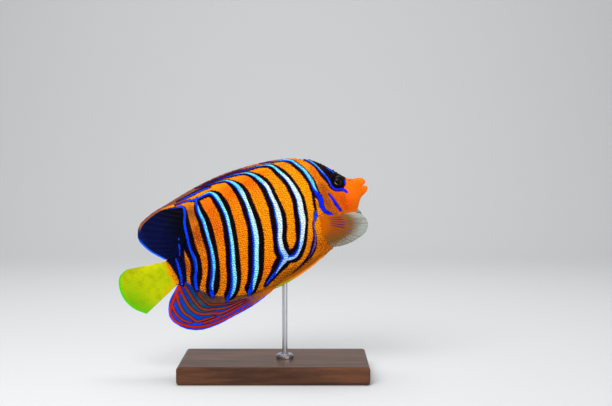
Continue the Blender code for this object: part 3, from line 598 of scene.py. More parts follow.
class Nodes:
    def __init__(self, tree):
        self.tree = tree

    def add(self, kind, settings=None, values=None, output=0):  # settings first, then values and links
        node = self.tree.nodes.new(kind)
        for name, value in (settings or {}).items():
            setattr(node, name, value)
        for name, value in (values or {}).items():
            if isinstance(value, Wire):
                self.tree.links.new(value.socket, node.inputs[name])
            else:
                node.inputs[name].default_value = value
        return Wire(self, node.outputs[output]) if len(node.outputs) else None

    def maths(self, operation, first, second=0.0):
        return self.add("ShaderNodeMath", {"operation": operation}, {0: first, 1: second})


class Paint(Nodes):  # a material
    def __init__(self, name):
        self.material = bpy.data.materials.new(name)
        self.material.use_nodes = True
        super().__init__(self.material.node_tree)
        self.tree.nodes.clear()

    def mix(self, share, first, second):  # the two are colours as seen or wires
        first, second = (tone if isinstance(tone, Wire) else rgba(tone) for tone in (first, second))
        settings = {"data_type": "RGBA", "clamp_factor": True}
        return self.add("ShaderNodeMix", settings, {0: share, 6: first, 7: second}, output=2)

    def layers(self, colour, *above):  # lays each colour over those before it, by its share
        for share, tone in above:
            colour = self.mix(share, colour, tone)
        return colour

    def attribute(self, name, output=2):
        return self.add("ShaderNodeAttribute", {"attribute_name": name}, output=output)

    def objectPlace(self):
        return self.add("ShaderNodeTexCoord", output=3)

    def fishPlace(self):  # object coordinates turned into the fish's frame, in millimetres
        tilt = math.radians(pose["noseUpDeg"])
        values = {
            "Vector": self.objectPlace(), "Location": fishToRoom.inverted().translation,
            "Rotation": (0, tilt, 0), "Scale": (1 / mm, 1 / mm, 1 / mm),
        }
        return self.add("ShaderNodeMapping", {"vector_type": "POINT"}, values)

    def split(self, vector):
        node = self.tree.nodes.new("ShaderNodeSeparateXYZ")
        self.tree.links.new(vector.socket, node.inputs[0])
        return [Wire(self, output) for output in node.outputs]

    def noise(self, vector, scale, detail, roughness):
        values = {"Vector": vector, "Scale": scale, "Detail": detail, "Roughness": roughness}
        return self.add("ShaderNodeTexNoise", {}, values)

    def combine(self, x, y):
        return self.add("ShaderNodeCombineXYZ", {}, {"X": x, "Y": y})

    def stretched(self, vector, scale):
        return self.add("ShaderNodeMapping", {"vector_type": "POINT"}, {"Vector": vector, "Scale": scale})

    def finish(self, values, grain=None, rough=(0.5, 0.0), relief=0.3, deep=0.0002):
        if grain is not None:  # it varies the gloss and raises the surface a little
            values["Roughness"] = rough[0] + grain * rough[1]
            lifted = {"Height": grain, "Distance": deep, "Strength": relief}
            values["Normal"] = self.add("ShaderNodeBump", {}, lifted)
        shader = self.add("ShaderNodeBsdfPrincipled", {}, {"Specular IOR Level": 0.05, **values})
        self.add("ShaderNodeOutputMaterial", {}, {"Surface": shader})
        return self.material


def stripePattern(paint, place, mottle):  # the anal fin's lines, which also run a little up the belly
    wobble = (mottle - 0.5) * 0.5
    red, rim = paint.attribute("redEdge") + wobble, paint.attribute("finRim") + wobble
    x, _, _ = paint.split(place)
    blue = paint.layers(
        (0, 66, 255),
        (rim.fade(1.5, 9.0), (0, 56, 176)),
        (rim.fade(9.0, 17.0), (20, 66, 112)),
        (rim.fade(17.0, 23.0), (66, 74, 84)),
    )
    scarlet = paint.layers(
        (176, 36, 0),
        (rim.fade(2.0, 12.0), (134, 52, 24)),
        (x.fade(-44.0, -30.0), (184, 10, 50)),
    )
    return paint.layers(blue, (red.fade(0.7, 0.2), (20, 4, 22)), (red.fade(0.1, -0.35), scarlet))


def barColour(paint, place, mottle):  # deep blue towards the tail, pale towards the head
    x, _, z = paint.split(place)
    across = paint.attribute("barSide") + (mottle - 0.5) * 0.7
    within = across - paint.attribute("paleFrom")
    pale = paint.layers(
        (232, 252, 244),
        (x.fade(4.0, -26.0), (140, 250, 252)),
        (z.fade(30.0, 44.0), (104, 224, 255)),
        (x.fade(-36.0, -48.0), (84, 206, 255)),
        (x.fade(38.0, 42.0), (108, 216, 255)),
        (z.fade(-13.0, -21.0) * x.fade(-14.0, -6.0) * 0.85, (158, 200, 255)),
        (mottle.fade(0.5, 0.66) * 0.6, (100, 200, 255)),
        (mottle.fade(0.48, 0.34) * x.fade(-2.0, -24.0) * 0.7, (228, 252, 250)),
    )
    return paint.layers(
        (0, 36, 214),
        (within.fade(-0.5, 0.1), (24, 124, 255)),
        (within.fade(-0.12, 0.36), pale),
        (across.fade(0.8, 1.1) * 0.5, (30, 110, 250)),
        (paint.attribute("paleFrom").fade(0.55, 0.95), (0, 64, 255)),
        (x.fade(40.0, 47.0) * z.fade(15.0, 10.0), (0, 34, 250)),
        (paint.attribute("violetShare") * z.fade(-4.0, -8.0) * 0.8, (104, 66, 150)),
    )


def groundColour(paint, place, mottle, piece):  # what lies under the bars
    x, _, _ = paint.split(place)
    if piece == "anal":
        cloud = paint.noise(place, 0.32, 3.0, 0.6)
        flesh = paint.layers(
            (88, 66, 60),
            (x.fade(-70.0, -50.0), (142, 80, 14)),
            (cloud.fade(0.45, 0.65) * 0.6, (72, 50, 74)),
            (x.fade(-34.0, -20.0), (176, 92, 8)),
        )
    else:
        grain = paint.noise(paint.stretched(place, (0.8, 1.4, 1.4)), 1.0, 3.0, 0.6)
        flesh = paint.layers(
            paint.attribute("fleshAndShadeColour", output=0),
            (mottle.fade(0.48, 0.75) * 0.24, (206, 48, 0)),
            (grain.fade(0.5, 0.3) * 0.25, (255, 160, 0)),
            (grain.fade(0.56, 0.7) * x.fade(-34.0, -52.0) * 0.65, (84, 22, 6)),
            # painted shade along each scale's raised rear edge, where the scales overlap
            (paint.attribute("scaleEdgeShade") * 0.06, (140, 40, 0)),
        )
    if piece == "dorsal":
        return flesh
    share = paint.attribute("fieldEdge").fade(0.5, -0.3) * x.fade(-32.0, -42.0)
    if piece == "skin":
        share = share * paint.attribute("stripeShare")
    return paint.mix(share, flesh, stripePattern(paint, place, mottle))


def fishPattern(paint, place, piece="skin"):  # what the skin, the scales, the dorsal and the anal fin carry
    x, _, z = paint.split(place)
    wobble = paint.noise(place, 0.9, 3.0, 0.65) - 0.5
    mottle = paint.noise(place, 0.8, 4.0, 0.7)
    blueEdge = paint.attribute("blueEdge") + wobble * 0.9
    inkEdge = paint.attribute("inkEdge") + wobble * 2.0
    rearEdge = paint.attribute("rearEdge") + wobble * 1.4
    crest = paint.attribute("crestDepth")
    if piece != "anal":  # the lines along the crest are thinner, with stronger borders
        atCrest = crest.fade(7.5, 4.5) * x.fade(34.0, 20.0)
        blueEdge = blueEdge + atCrest * 0.15
        inkEdge = inkEdge - atCrest * 0.4
    flesh = groundColour(paint, place, mottle, piece)
    dark = paint.mix(inkEdge.fade(0.2, -0.9), (66, 8, 14), (12, 0, 5))
    inkShare, barShare = inkEdge.fade(0.5, -0.3), blueEdge.fade(0.25, -0.25)
    bar = barColour(paint, place, mottle)
    if piece == "anal":
        rim = paint.attribute("finRim").fade(1.0, 0.7) * x.fade(-20.0, -28.0)
        return paint.layers(flesh, (rim, (0, 70, 252)), (inkShare, dark), (barShare, bar))

    streaks = paint.noise(paint.combine(x * 0.06, crest * 1.6), 1.0, 4.0, 0.7)
    margin = paint.layers(
        (118, 44, 20),
        (streaks.fade(0.38, 0.62), (92, 72, 80)),
        (streaks.fade(0.5, 0.42) * x.fade(-62.0, -40.0) * 0.5, (160, 92, 6)),
    )
    deep = x.fade(14.0, -44.0) * 3.8 + 1.0 - x.fade(-50.0, -74.0) * 3.1
    inMargin = (crest - deep).fade(0.8, -0.8) * x.fade(40.0, 14.0)
    inMargin = inMargin * x.fade(-97.0, -91.0) * z.fade(37.0, 43.0)
    navy = paint.layers(
        (0, 0, 6),
        (x.fade(-62.0, -84.0), (0, 5, 50)),
        (x.fade(-92.0, -102.0) * mottle.fade(0.3, 0.6) * 0.8, (0, 40, 120)),
    )
    return paint.layers(
        flesh,
        (inMargin * 0.92, margin),
        (inkShare, dark),
        (rearEdge.fade(0.6, -0.8) * (1 - inMargin * 0.92), navy),
        (barShare, bar),
    )


def skinPaint():
    paint = Paint("fish skin")
    place = paint.fishPlace()
    grain = paint.noise(place, 1.6, 4.0, 0.6)
    return paint.finish({"Base Color": fishPattern(paint, place)}, grain, (0.3, 0.16), deep=0.00025)


# Meshes

def addObject(name, data):
    made = bpy.data.objects.new(name, data)
    bpy.context.scene.collection.objects.link(made)
    return made


def meshFrom(name, points, faces):
    mesh = bpy.data.meshes.new(name)
    mesh.from_pydata(np.asarray(points).tolist(), [], faces if isinstance(faces, list) else faces.tolist())
    mesh.update()
    mesh.shade_smooth()
    return mesh


def giveAttribute(mesh, name, values, kind="FLOAT"):
    field = {"FLOAT": "value", "FLOAT_VECTOR": "vector", "FLOAT_COLOR": "color"}[kind]
    layer = mesh.attributes.new(name, kind, "POINT")
    layer.data.foreach_set(field, np.asarray(values, np.float32).ravel())


def pointsOf(mesh):
    points = np.empty(len(mesh.vertices) * 3)
    mesh.vertices.foreach_get("co", points)
    return points.reshape(-1, 3)


def giveMarkings(mesh):
    places = inFish(pointsOf(mesh))
    for name, values in markingsAt(places).items():
        giveAttribute(mesh, name, values)
    giveAttribute(mesh, "fleshAndShadeColour", np.insert(fleshAndShadeAt(places), 3, 1.0, axis=1), "FLOAT_COLOR")


def newPiece(name, mesh, material, replaced=()):
    piece = addObject(name, mesh)
    mesh.materials.clear()
    mesh.materials.append(material)
    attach(piece, "root")
    if replaced:
        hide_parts(*replaced)


def gridFaces(rows, columns, wrap=False):
    here = np.arange(rows * columns).reshape(rows, columns)
    if wrap:
        here = np.hstack([here, here[:, :1]])
    a, b, c, d = here[:-1, :-1], here[:-1, 1:], here[1:, 1:], here[1:, :-1]
    return np.stack([a, b, c, d], -1).reshape(-1, 4)


def turnOutwards(mesh):
    work = bmesh.new()
    work.from_mesh(mesh)
    bmesh.ops.recalc_face_normals(work, faces=work.faces)
    work.to_mesh(mesh)
    work.free()


def closedRings(name, rings, ends):  # joins rings of points, and closes each end with a point
    rows, columns, _ = rings.shape
    faces = gridFaces(rows, columns, wrap=True).tolist()
    last = (rows - 1) * columns
    for k in range(columns):
        after = (k + 1) % columns
        faces.append((after, k, rows * columns))
        faces.append((last + k, last + after, rows * columns + 1))
    mesh = meshFrom(name, inRoom(np.vstack([rings.reshape(-1, 3), *ends])), faces)
    turnOutwards(mesh)
    return mesh


def joined(name, meshes):
    holders = [addObject(name, mesh) for mesh in meshes]
    with bpy.context.temp_override(active_object=holders[0], selected_editable_objects=holders):
        bpy.ops.object.join()
    mesh = holders[0].data
    bpy.data.objects.remove(holders[0])
    mesh.name = name
    return mesh


def ringStations():
    stations = [np.array([ringPlaces[0]])]
    for start, end in zip(ringPlaces, ringPlaces[1:]):
        step = body["headStep"] if end > body["headStarts"] else body["trunkStep"]
        count = max(3, round((end - start) / step))
        stations.append(start + (end - start) * np.arange(1, count + 1) / count)
    return np.concatenate(stations)


def cheekSpine(side):  # the spine at the cheek's lower corner, pointing back and a little down
    rootX, rootZ = body["spineRoot"]
    drop = math.radians(body["spineDropDeg"])
    share = np.linspace(0, 1, 15)[:, None]
    turn = np.linspace(0, 2 * math.pi, 13)[:-1][None, :]
    radius = body["spineRadius"] * (1 - share) ** 0.6 * (0.9 + 0.1 * np.cos(share * 9)) + 0.06
    along = body["spineLength"] * share
    beside = float(flankAt(rootX - body["spineLength"] / 2, rootZ))
    x = rootX - along * math.cos(drop) + radius * np.cos(turn) * math.sin(drop)
    z = rootZ - along * math.sin(drop) - radius * np.cos(turn) * math.cos(drop)
    y = beside + body["spineOffCheek"] * (0.4 + 0.6 * share) + 0.8 * radius * np.sin(turn)
    rings = np.stack([x, side * y, z], -1)
    return closedRings("cheekSpine", rings, (rings[0].mean(0), rings[-1].mean(0)))


def makeSkin(material):
    places = ringStations()
    topX, topZ, lowX, lowZ, sideX, sideY, sideZ, edge = (
        column[:, None] for column in smoothAt(ringPlaces, ringRows, places).T
    )
    angle = 2 * math.pi * np.arange(body["ringPoints"]) / body["ringPoints"]
    up, out = np.cos(angle)[None, :], np.sin(angle)[None, :]
    endX, endZ = np.where(up > 0, topX, lowX), np.where(up > 0, topZ, lowZ)
    x = sideX + (endX - sideX) * up**2
    z = sideZ + (endZ - sideZ) * np.abs(up)
    y = sideY * np.abs(out) ** edge + reliefAt(x, z) * np.minimum(1, 2 * np.abs(out))
    rings = np.stack([x, np.where(out < 0, -y, y), z], -1)
    mesh = closedRings("fishSkin", rings, (rings[0].mean(0), rings[-1].mean(0)))
    mesh = joined("fishSkin", [mesh, cheekSpine(-1), cheekSpine(1)])
    giveMarkings(mesh)
    print("skin:", len(mesh.polygons), "faces")
    newPiece("fishSkin", mesh, material, ("head", "trunk", "tail_stem"))


# Fins: a thin sheet with a fleshy root, and rays swept along their own paths.
# The root and the outer edge run from the first spine or ray to the last, as x and z. The rays bow by a
# share of their length, and the skin between them is notched at the edge and ripples. Sizes are in mm.

fins = {
    "dorsal": {
        "root": [(46.5, 38), (18, 41.6), (-7, 40), (-31, 34.2), (-53, 24.8), (-68, 15.8), (-79, 9.6)],
        "edge": [
            (42, 43.97), (30.4, 48.1), (8, 53), (-18.5, 55.9), (-43.2, 55), (-66, 52.2), (-83, 49.8),
            (-94.6, 45), (-99.5, 35.8), (-96, 24.4), (-87.6, 12.6),
        ],
        "spines": 14, "rays": 18, "bow": -0.03, "rootThick": 4.4, "webThick": 0.36, "notch": 0.25,
        "spineRadius": 0.42, "rayRadius": 0.27, "across": 10, "rows": 56, "ripple": 0.12,
        "rough": (0.4, 0.16), "relief": 0.25,
    },
    "anal": {
        "root": [(-11.5, -40.6), (-36, -38.6), (-52, -34.6), (-64, -28), (-73, -18.4), (-79.5, -9.6)],
        "edge": [
            (-14.6, -45), (-24, -47.7), (-38, -50.8), (-55, -52.3), (-71, -53.2), (-85.5, -51),
            (-96.3, -44), (-102.5, -32.2), (-98.5, -21.5), (-87.8, -12.1),
        ],
        "spines": 3, "rays": 18, "bow": 0.03, "rootThick": 4.2, "webThick": 0.36, "notch": 0.3,
        "spineRadius": 0.4, "rayRadius": 0.28, "across": 12, "rows": 70, "ripple": 0.12,
        "rough": (0.4, 0.14), "relief": 0.25,
    },
    "caudal": {
        "root": [(-86.3, 10), (-86.3, 0), (-86.3, -10.2)],
        "edge": [
            (-118.2, 17.4), (-125.6, 14.2), (-129.7, 6), (-129.9, -4.4), (-125.8, -13.8), (-118, -21.7),
        ],
        "spines": 0, "rays": 17, "bow": 0.0, "rootThick": 4.0, "webThick": 0.34, "notch": 0.0,
        "rayRadius": 0.19, "across": 12, "rows": 60, "ripple": 0.04, "cup": 2.5, "rough": (0.4, 0.14),
        "relief": 0.3,
    },
    "pectoral": {
        "root": [(41, -5.6), (39.8, -12), (37.6, -18)],
        "edge": [
            (67.1, -12.3), (72.3, -17.2), (73.2, -23.2), (69.8, -28.7), (60.8, -32.2), (49.3, -33.1),
            (39.4, -31.2),
        ],
        "spines": 0, "rays": 16, "bow": 0.0, "rootThick": 3.0, "webThick": 0.26, "notch": 0.0,
        "rayRadius": 0.26, "across": 12, "rows": 60, "ripple": 0.12, "reach": 27.0, "sunk": 2.0,
        "lead": 1.3, "flare": 1.6, "rough": (0.34, 0.14), "relief": 0.3, "clear": 0.5,
    },
    "pelvic": {
        "root": [(31.5, -36), (29.6, -34.6), (27.6, -33.2)],
        "edge": [(-15.6, -44.7), (-11.6, -42.9), (-4, -39.8)],
        "spines": 1, "rays": 5, "bow": -0.042, "rootThick": 2.4, "webThick": 0.34, "notch": 0.0,
        "spineRadius": 0.5, "rayRadius": 0.34, "across": 12, "rows": 60, "ripple": 0.12, "apart": 4.4,
        "rise": 2.9, "sunk": 1.6, "rough": (0.36, 0.14), "relief": 0.3,
    },
}


def finPlacer(name, side):  # turns along and out, both 0 to 1, into places in the fish's frame
    fin = fins[name]
    rootPath, edgePath = smoothPath(fin["root"]), smoothPath(fin["edge"])
    middle = np.linalg.norm(rootPath([0.3]) - edgePath([0.3]))

    def place(along, out):
        along, out = np.broadcast_arrays(np.asarray(along, float), np.asarray(out, float))
        shape = along.shape
        along, out = along.ravel(), out.ravel()
        root, edge = rootPath(along), edgePath(along)
        arch = 4 * out * (1 - out) * fin["bow"]
        forward = out ** fin.get("lead", 1)
        x = root[:, 0] + (edge[:, 0] - root[:, 0]) * forward + arch * (edge[:, 1] - root[:, 1])
        z = root[:, 1] + (edge[:, 1] - root[:, 1]) * forward - arch * (edge[:, 0] - root[:, 0])
        y = np.zeros(len(x))
        if name == "caudal":
            y = -fin["cup"] * out * (2 * along - 1) ** 2
        if name == "pectoral":
            share = np.linalg.norm(root - edge, axis=1) / middle
            lift = fin["reach"] * share * (1 - (1 - out) ** fin["flare"])
            y = side * (flankAt(root[:, 0], root[:, 1]) - fin["sunk"] + lift)
        if name == "pelvic":
            offBelly = fin["rise"] * fade(out, 0.0, 0.22) - fin["sunk"]
            under, beside = fin["apart"] + offBelly, flankAt(x, z) + offBelly
            y = side * (under + beside + np.hypot(under - beside, 1.5)) / 2
        return np.stack([x, y, z], -1).reshape(*shape, 3)

    return place


rays = {
    "sides": 6,
    "girth": 1.0,
    "softNotch": 0.14,  # how far the edge draws in between soft rays
    "tipThinner": 0.35,
    "spine": (0.0, 0.955, 26),  # how far out each part starts and ends, and its points
    "stem": (0.0, 0.38, 12),
    "branch": (0.33, 0.68, 12),
    "twig": (0.63, 0.985, 12),
    "spread": 0.26,  # the room that a ray's twigs take, as a share of the gap between rays
    "branchLanes": (-0.6, 0.6),  # places in that room, and how far out they are taken up
    "branchesPart": (0.32, 0.66),
    "twigLanes": (-0.4, 0.4),
    "twigsPart": (0.62, 0.97),
}


def gapCount(name):  # the gaps between a fin's spines and rays
    return fins[name]["spines"] + fins[name]["rays"] - 1


def finForm(name, side, along, reach):  # the fin's middle surface, its normals, and its thickness
    fin = fins[name]
    place = finPlacer(name, side)
    small = 0.004
    centre = place(along, reach)
    alongRun = place(np.minimum(along + small, 1), reach) - place(np.maximum(along - small, 0), reach)
    outRun = place(along, np.minimum(reach + small, 1)) - place(along, np.maximum(reach - small, 0))
    normal = np.cross(alongRun, outRun)
    normal /= np.linalg.norm(normal, axis=-1, keepdims=True)
    ripple = fin["ripple"] * np.sin(along * gapCount(name) * 2 * math.pi) * fade(reach, 0.15, 0.6)
    thick = fin["webThick"] + (fin["rootThick"] - fin["webThick"]) * (1 - reach) ** 2.6
    thick = thick * (1 - rays["tipThinner"] * fade(reach, 0.9, 1.0))
    return centre + normal * ripple[..., None], normal, outRun, thick


def finSheet(name, side):
    fin = fins[name]
    place = finPlacer(name, side)
    gaps = gapCount(name)
    along = np.linspace(0, 1, gaps * fin["across"] + 1)[:, None]
    out = np.linspace(0, 1, fin["rows"] + 1)[None, :]
    betweenRays = np.abs(np.sin(along * gaps * math.pi))
    spiny = along * gaps < fin["spines"] - 1 if fin["spines"] > 1 else along < -1
    length = np.linalg.norm(place(along, 1.0 + 0 * along) - place(along, 0 * along), axis=-1)
    shorter = np.where(spiny, fin["notch"], rays["softNotch"]) * betweenRays / length
    reach = out * (1 - shorter)
    along = along + 0 * out
    centre, normal, _, thick = finForm(name, side, along, reach)
    half = normal * thick[..., None] / 2
    columns, rows = thick.shape
    points = np.vstack([(centre + half).reshape(-1, 3), (centre - half).reshape(-1, 3)])
    near = gridFaces(columns, rows)
    far = near[:, ::-1] + columns * rows
    here = np.arange(columns * rows).reshape(columns, rows)
    rim = np.concatenate([here[0, :-1], here[:-1, -1], here[-1, :0:-1], here[:0:-1, 0]])
    after = np.roll(rim, -1)
    border = np.stack([rim, after, after + columns * rows, rim + columns * rows], -1)
    mesh = meshFrom(name + "Sheet", inRoom(points), np.vstack([near, far, border]))
    turnOutwards(mesh)
    for field, values in (("finAlong", along), ("finOut", reach), ("finRay", 1 - betweenRays + 0 * out)):
        giveAttribute(mesh, field, np.tile(values.ravel(), 2))
    return mesh


def rayPaths(name):  # each ray's stem, branches and twigs as rows of along, out and radius
    thick = fins[name]["rayRadius"]
    gaps = gapCount(name)
    spread = rays["spread"] / gaps
    paths = []
    for number in range(gaps + 1):
        along = number / gaps
        if number < fins[name]["spines"]:
            out = np.linspace(*rays["spine"])
            paths.append((0 * out + along, out, fins[name]["spineRadius"] * (1.25 - 0.9 * out)))
            continue
        out = np.linspace(*rays["stem"])
        paths.append((0 * out + along, out, thick * (1.15 - 0.6 * out)))
        for half in rays["branchLanes"]:
            out = np.linspace(*rays["branch"])
            lane = np.clip(along + spread * half * fade(out, *rays["branchesPart"]), 0, 1)
            paths.append((lane, out, thick * (0.85 - 0.2 * out)))
            for quarter in rays["twigLanes"]:
                out = np.linspace(*rays["twig"])
                lane = half * fade(out, *rays["branchesPart"]) + quarter * fade(out, *rays["twigsPart"])
                lane = np.clip(along + spread * lane, 0, 1)
                paths.append((lane, out, thick * (0.72 - 0.4 * fade(out, 0.6, 1.0))))
    return paths


class Growth(Nodes):  # a Geometry Nodes tree with named inputs
    def __init__(self, name, inputs):
        super().__init__(bpy.data.node_groups.new(name, "GeometryNodeTree"))
        face = self.tree.interface
        face.new_socket("Geometry", in_out="INPUT", socket_type="NodeSocketGeometry")
        self.sockets = {}
        for key, kind in {**inputs, "Finish": "Material"}.items():
            self.sockets[key] = face.new_socket(key, in_out="INPUT", socket_type="NodeSocket" + kind)
        face.new_socket("Geometry", in_out="OUTPUT", socket_type="NodeSocketGeometry")
        start = self.tree.nodes.new("NodeGroupInput")
        self.start = {key: Wire(self, start.outputs[key]) for key in ("Geometry", *self.sockets)}

    def attribute(self, name, kind):
        return self.add("GeometryNodeInputNamedAttribute", {"data_type": kind}, {"Name": name}, "Attribute")

    def finish(self, geometry):
        geometry = self.add("GeometryNodeRealizeInstances", {}, {"Geometry": geometry})
        values = {"Geometry": geometry, "Material": self.start["Finish"]}
        self.add("NodeGroupOutput", {}, {"Geometry": self.add("GeometryNodeSetMaterial", {}, values)})
        return self

    def grow(self, name, mesh, values):  # the plain mesh that the tree makes of mesh
        carrier = addObject(name, mesh)
        modifier = carrier.modifiers.new("grow", "NODES")
        modifier.node_group = self.tree
        for key, value in values.items():
            modifier[self.sockets[key].identifier] = value
        bpy.context.view_layer.update()
        made = bpy.data.meshes.new_from_object(carrier.evaluated_get(bpy.context.evaluated_depsgraph_get()))
        carrier.modifiers.clear()
        bpy.data.objects.remove(carrier)
        made.shade_smooth()
        return made


def rayTree():  # sweeps a round section along every path
    growth = Growth("finRays", {"Sides": "Int", "Girth": "Float"})
    start = growth.start
    ring = {"Resolution": start["Sides"], "Radius": 1.0}
    swept = growth.add("GeometryNodeCurveToMesh", {}, {
        "Curve": growth.add("GeometryNodeMeshToCurve", {}, {0: start["Geometry"]}),
        "Profile Curve": growth.add("GeometryNodeCurvePrimitiveCircle", {}, ring),
        "Scale": growth.attribute("rayRadius", "FLOAT") * start["Girth"],
        "Fill Caps": True,
    })
    return growth.finish(swept)


rayGrowth = rayTree()


def finRays(name, side, material):
    place = finPlacer(name, side)
    points, edges, radii = [], [], []
    for along, out, radius in rayPaths(name):
        edges += [(k, k + 1) for k in range(len(radii), len(radii) + len(out) - 1)]
        points.extend(inRoom(place(along, out)).tolist())
        radii.extend(radius * mm)
    mesh = bpy.data.meshes.new(name + "RayPaths")
    mesh.from_pydata(points, edges, [])
    giveAttribute(mesh, "rayRadius", radii)
    values = {"Sides": rays["sides"], "Girth": rays["girth"], "Finish": material}
    made = rayGrowth.grow(name + "RayPaths", mesh, values)
    turnOutwards(made)
    return made


def nearestFinPlace(mesh, name, side):  # along and out at the fin's place nearest to each vertex
    place = finPlacer(name, side)
    along, out = np.meshgrid(np.linspace(0, 1, 160), np.linspace(0, 1, 60), indexing="ij")
    spots = inRoom(place(along, out)).reshape(-1, 3)
    tree = KDTree(len(spots))
    for number, spot in enumerate(spots):
        tree.insert(spot, number)
    tree.balance()
    found = np.array([tree.find(p)[1] for p in pointsOf(mesh)])
    return along.ravel()[found], out.ravel()[found]


def makeFin(name, material, hand="", marked=False):
    side = -1 if hand == "right" else 1
    pieceName, slot = name + "Fin" + hand.capitalize(), name + "_fin"
    sheet = finSheet(name, side)
    branched = finRays(name, side, material)
    along, out = nearestFinPlace(branched, name, side)
    for field, values in (("finAlong", along), ("finOut", out), ("finRay", np.ones(len(along)))):
        giveAttribute(branched, field, values)
    mesh = joined(pieceName, [sheet, branched])
    if marked:
        giveMarkings(mesh)
    print(pieceName + ":", len(mesh.polygons), "faces")
    newPiece(pieceName, mesh, material, (slot + "_" + hand if hand else slot,))


def dorsalColour(paint, place):
    _, _, z = paint.split(place)
    rim = paint.attribute("crestDepth").fade(1.5, 0.9) * z.fade(37.0, 31.0)
    return paint.mix(rim, fishPattern(paint, place, "dorsal"), (0, 92, 250))


def analColour(paint, place):
    return fishPattern(paint, place, "anal")


def caudalColour(paint, place):
    out, along = paint.attribute("finOut"), paint.attribute("finAlong")
    cloud = paint.noise(place, 0.2, 3.0, 0.6)
    upper, lower = along.fade(0.35, 0.0), along.fade(0.7, 1.0)
    return paint.layers(
        (214, 148, 0),
        (out.fade(0.0, 0.11), (170, 182, 0)),
        (upper * out.fade(0.05, 0.2) * out.fade(0.85, 0.5) * 0.75, (208, 206, 0)),
        (lower * out.fade(0.02, 0.1) * out.fade(0.5, 0.2) * 0.7, (196, 164, 0)),
        (out.fade(0.45, 0.95) * along.fade(0.1, 0.75) * 0.75, (62, 160, 0)),
        (out.fade(0.93, 0.985) * 0.9, (44, 200, 0)),
        (cloud.fade(0.42, 0.75) * 0.5, (124, 134, 0)),
    )


def pectoralColour(paint, place):
    out, ray, along = paint.attribute("finOut"), paint.attribute("finRay"), paint.attribute("finAlong")
    lines = paint.noise(paint.combine(along * 46.0, out * 1.6), 1.0, 3.0, 0.6)
    streak = along.fade(0.08, 0.12) * along.fade(0.46, 0.42) * ray.fade(0.42, 0.62)
    return paint.layers(
        (206, 98, 0),
        (out.fade(0.1, 0.5), (154, 72, 12)),
        (out.fade(0.52, 0.74), (128, 86, 48)),
        (out.fade(0.7, 0.94), (160, 170, 160)),
        (along.fade(0.4, 0.85) * out.fade(0.3, 0.55) * 0.65, (106, 78, 26)),
        (lines.fade(0.5, 0.7) * out.fade(0.3, 0.6) * 0.5, (96, 70, 44)),
        (ray.fade(0.5, 1.0) * 0.22, (120, 50, 12)),
        (streak * out.fade(0.27, 0.34) * out.fade(0.64, 0.56) * 0.95, (14, 2, 84)),
    )


def pelvicColour(paint, place):
    out, along = paint.attribute("finOut"), paint.attribute("finAlong")
    return paint.layers(
        (236, 124, 0),
        (along.fade(0.0, 0.5), (150, 80, 6)),
        (out.fade(0.5, 0.8) * along.fade(0.5, 0.0), (118, 146, 0)),
    )


def finPaint(name, colour):
    fin = fins[name]
    paint = Paint(name + " fin")
    place = paint.fishPlace()
    values = {"Base Color": colour(paint, place)}
    if "clear" in fin:  # the skin between the rays lets light through towards the edge
        out, ray = paint.attribute("finOut"), paint.attribute("finRay")
        values["Alpha"] = 1 - out.fade(0.5, 0.9) * (fin["clear"] - ray * 0.3)
    return paint.finish(values, paint.noise(place, 1.4, 3.0, 0.6), fin["rough"], fin["relief"])


# Scales: a small closed plate set at every point of a lattice on the flank

scales = {
    "alongStep": 1.75,
    "aroundStep": 1.8,
    "length": 3.0,
    "width": 2.4,
    "lift": 0.045,
    "sizes": (0.9, 1.12),
    "stray": 0.22,  # how far a scale strays from its place, as a share of the step
    "strayTurn": 0.1,
    "seed": 7,
    "from": -85.0,
    "to": 70.0,
    "smallerAhead": (0.35, 40.0, 56.0),  # by how much, and where that starts and ends
    "bareAroundEye": 1.6,
    "bareSnout": (66.0, 0.15),  # its border's x at mid height, and its lean
    # fin: first and last place along it, how far out the scales reach there, and the step along it
    "onFins": {"dorsal": (0.16, 0.98, 0.34, 0.62, 0.0105), "anal": (0.1, 0.96, 0.3, 0.5, 0.017)},
    "onFinStep": 0.8,
    "onFinSize": (0.85, 0.4),  # at the root, and how much smaller at the end of their reach
    "fromFinEdge": 2.6,
    # the flank's corner and size on the OFBake picture, and a scale's patch there
    "bakeFrom": (-135.0, -60.0),
    "bakeSize": (230.0, 240.0),
    "patch": 0.003,
}


def scaleShape():
    around = np.linspace(0, 2 * math.pi, 11)[:-1]
    x, y = np.cos(around) * 0.5, np.sin(around) * 0.5
    rim = np.stack([x, y, np.interp(x, [-0.5, 0.0, 0.5], [1.0, 0.2, -1.2])], -1)
    points = np.vstack([rim, [[-0.1, 0, 1.0], [0.0, 0, -1.6]]])
    faces = []
    for k in range(len(rim)):
        after = (k + 1) % len(rim)
        faces += [(k, after, len(rim)), (after, k, len(rim) + 1)]
    mesh = meshFrom("scaleShape", points, faces)
    # each rim point's share of the painted shade at the scale's rear edge
    giveAttribute(mesh, "scaleEdgeShade", np.append(np.clip(-rim[:, 0] * 2, 0, 1), [0, 0]))
    return bpy.data.objects.new("scaleShape", mesh), points


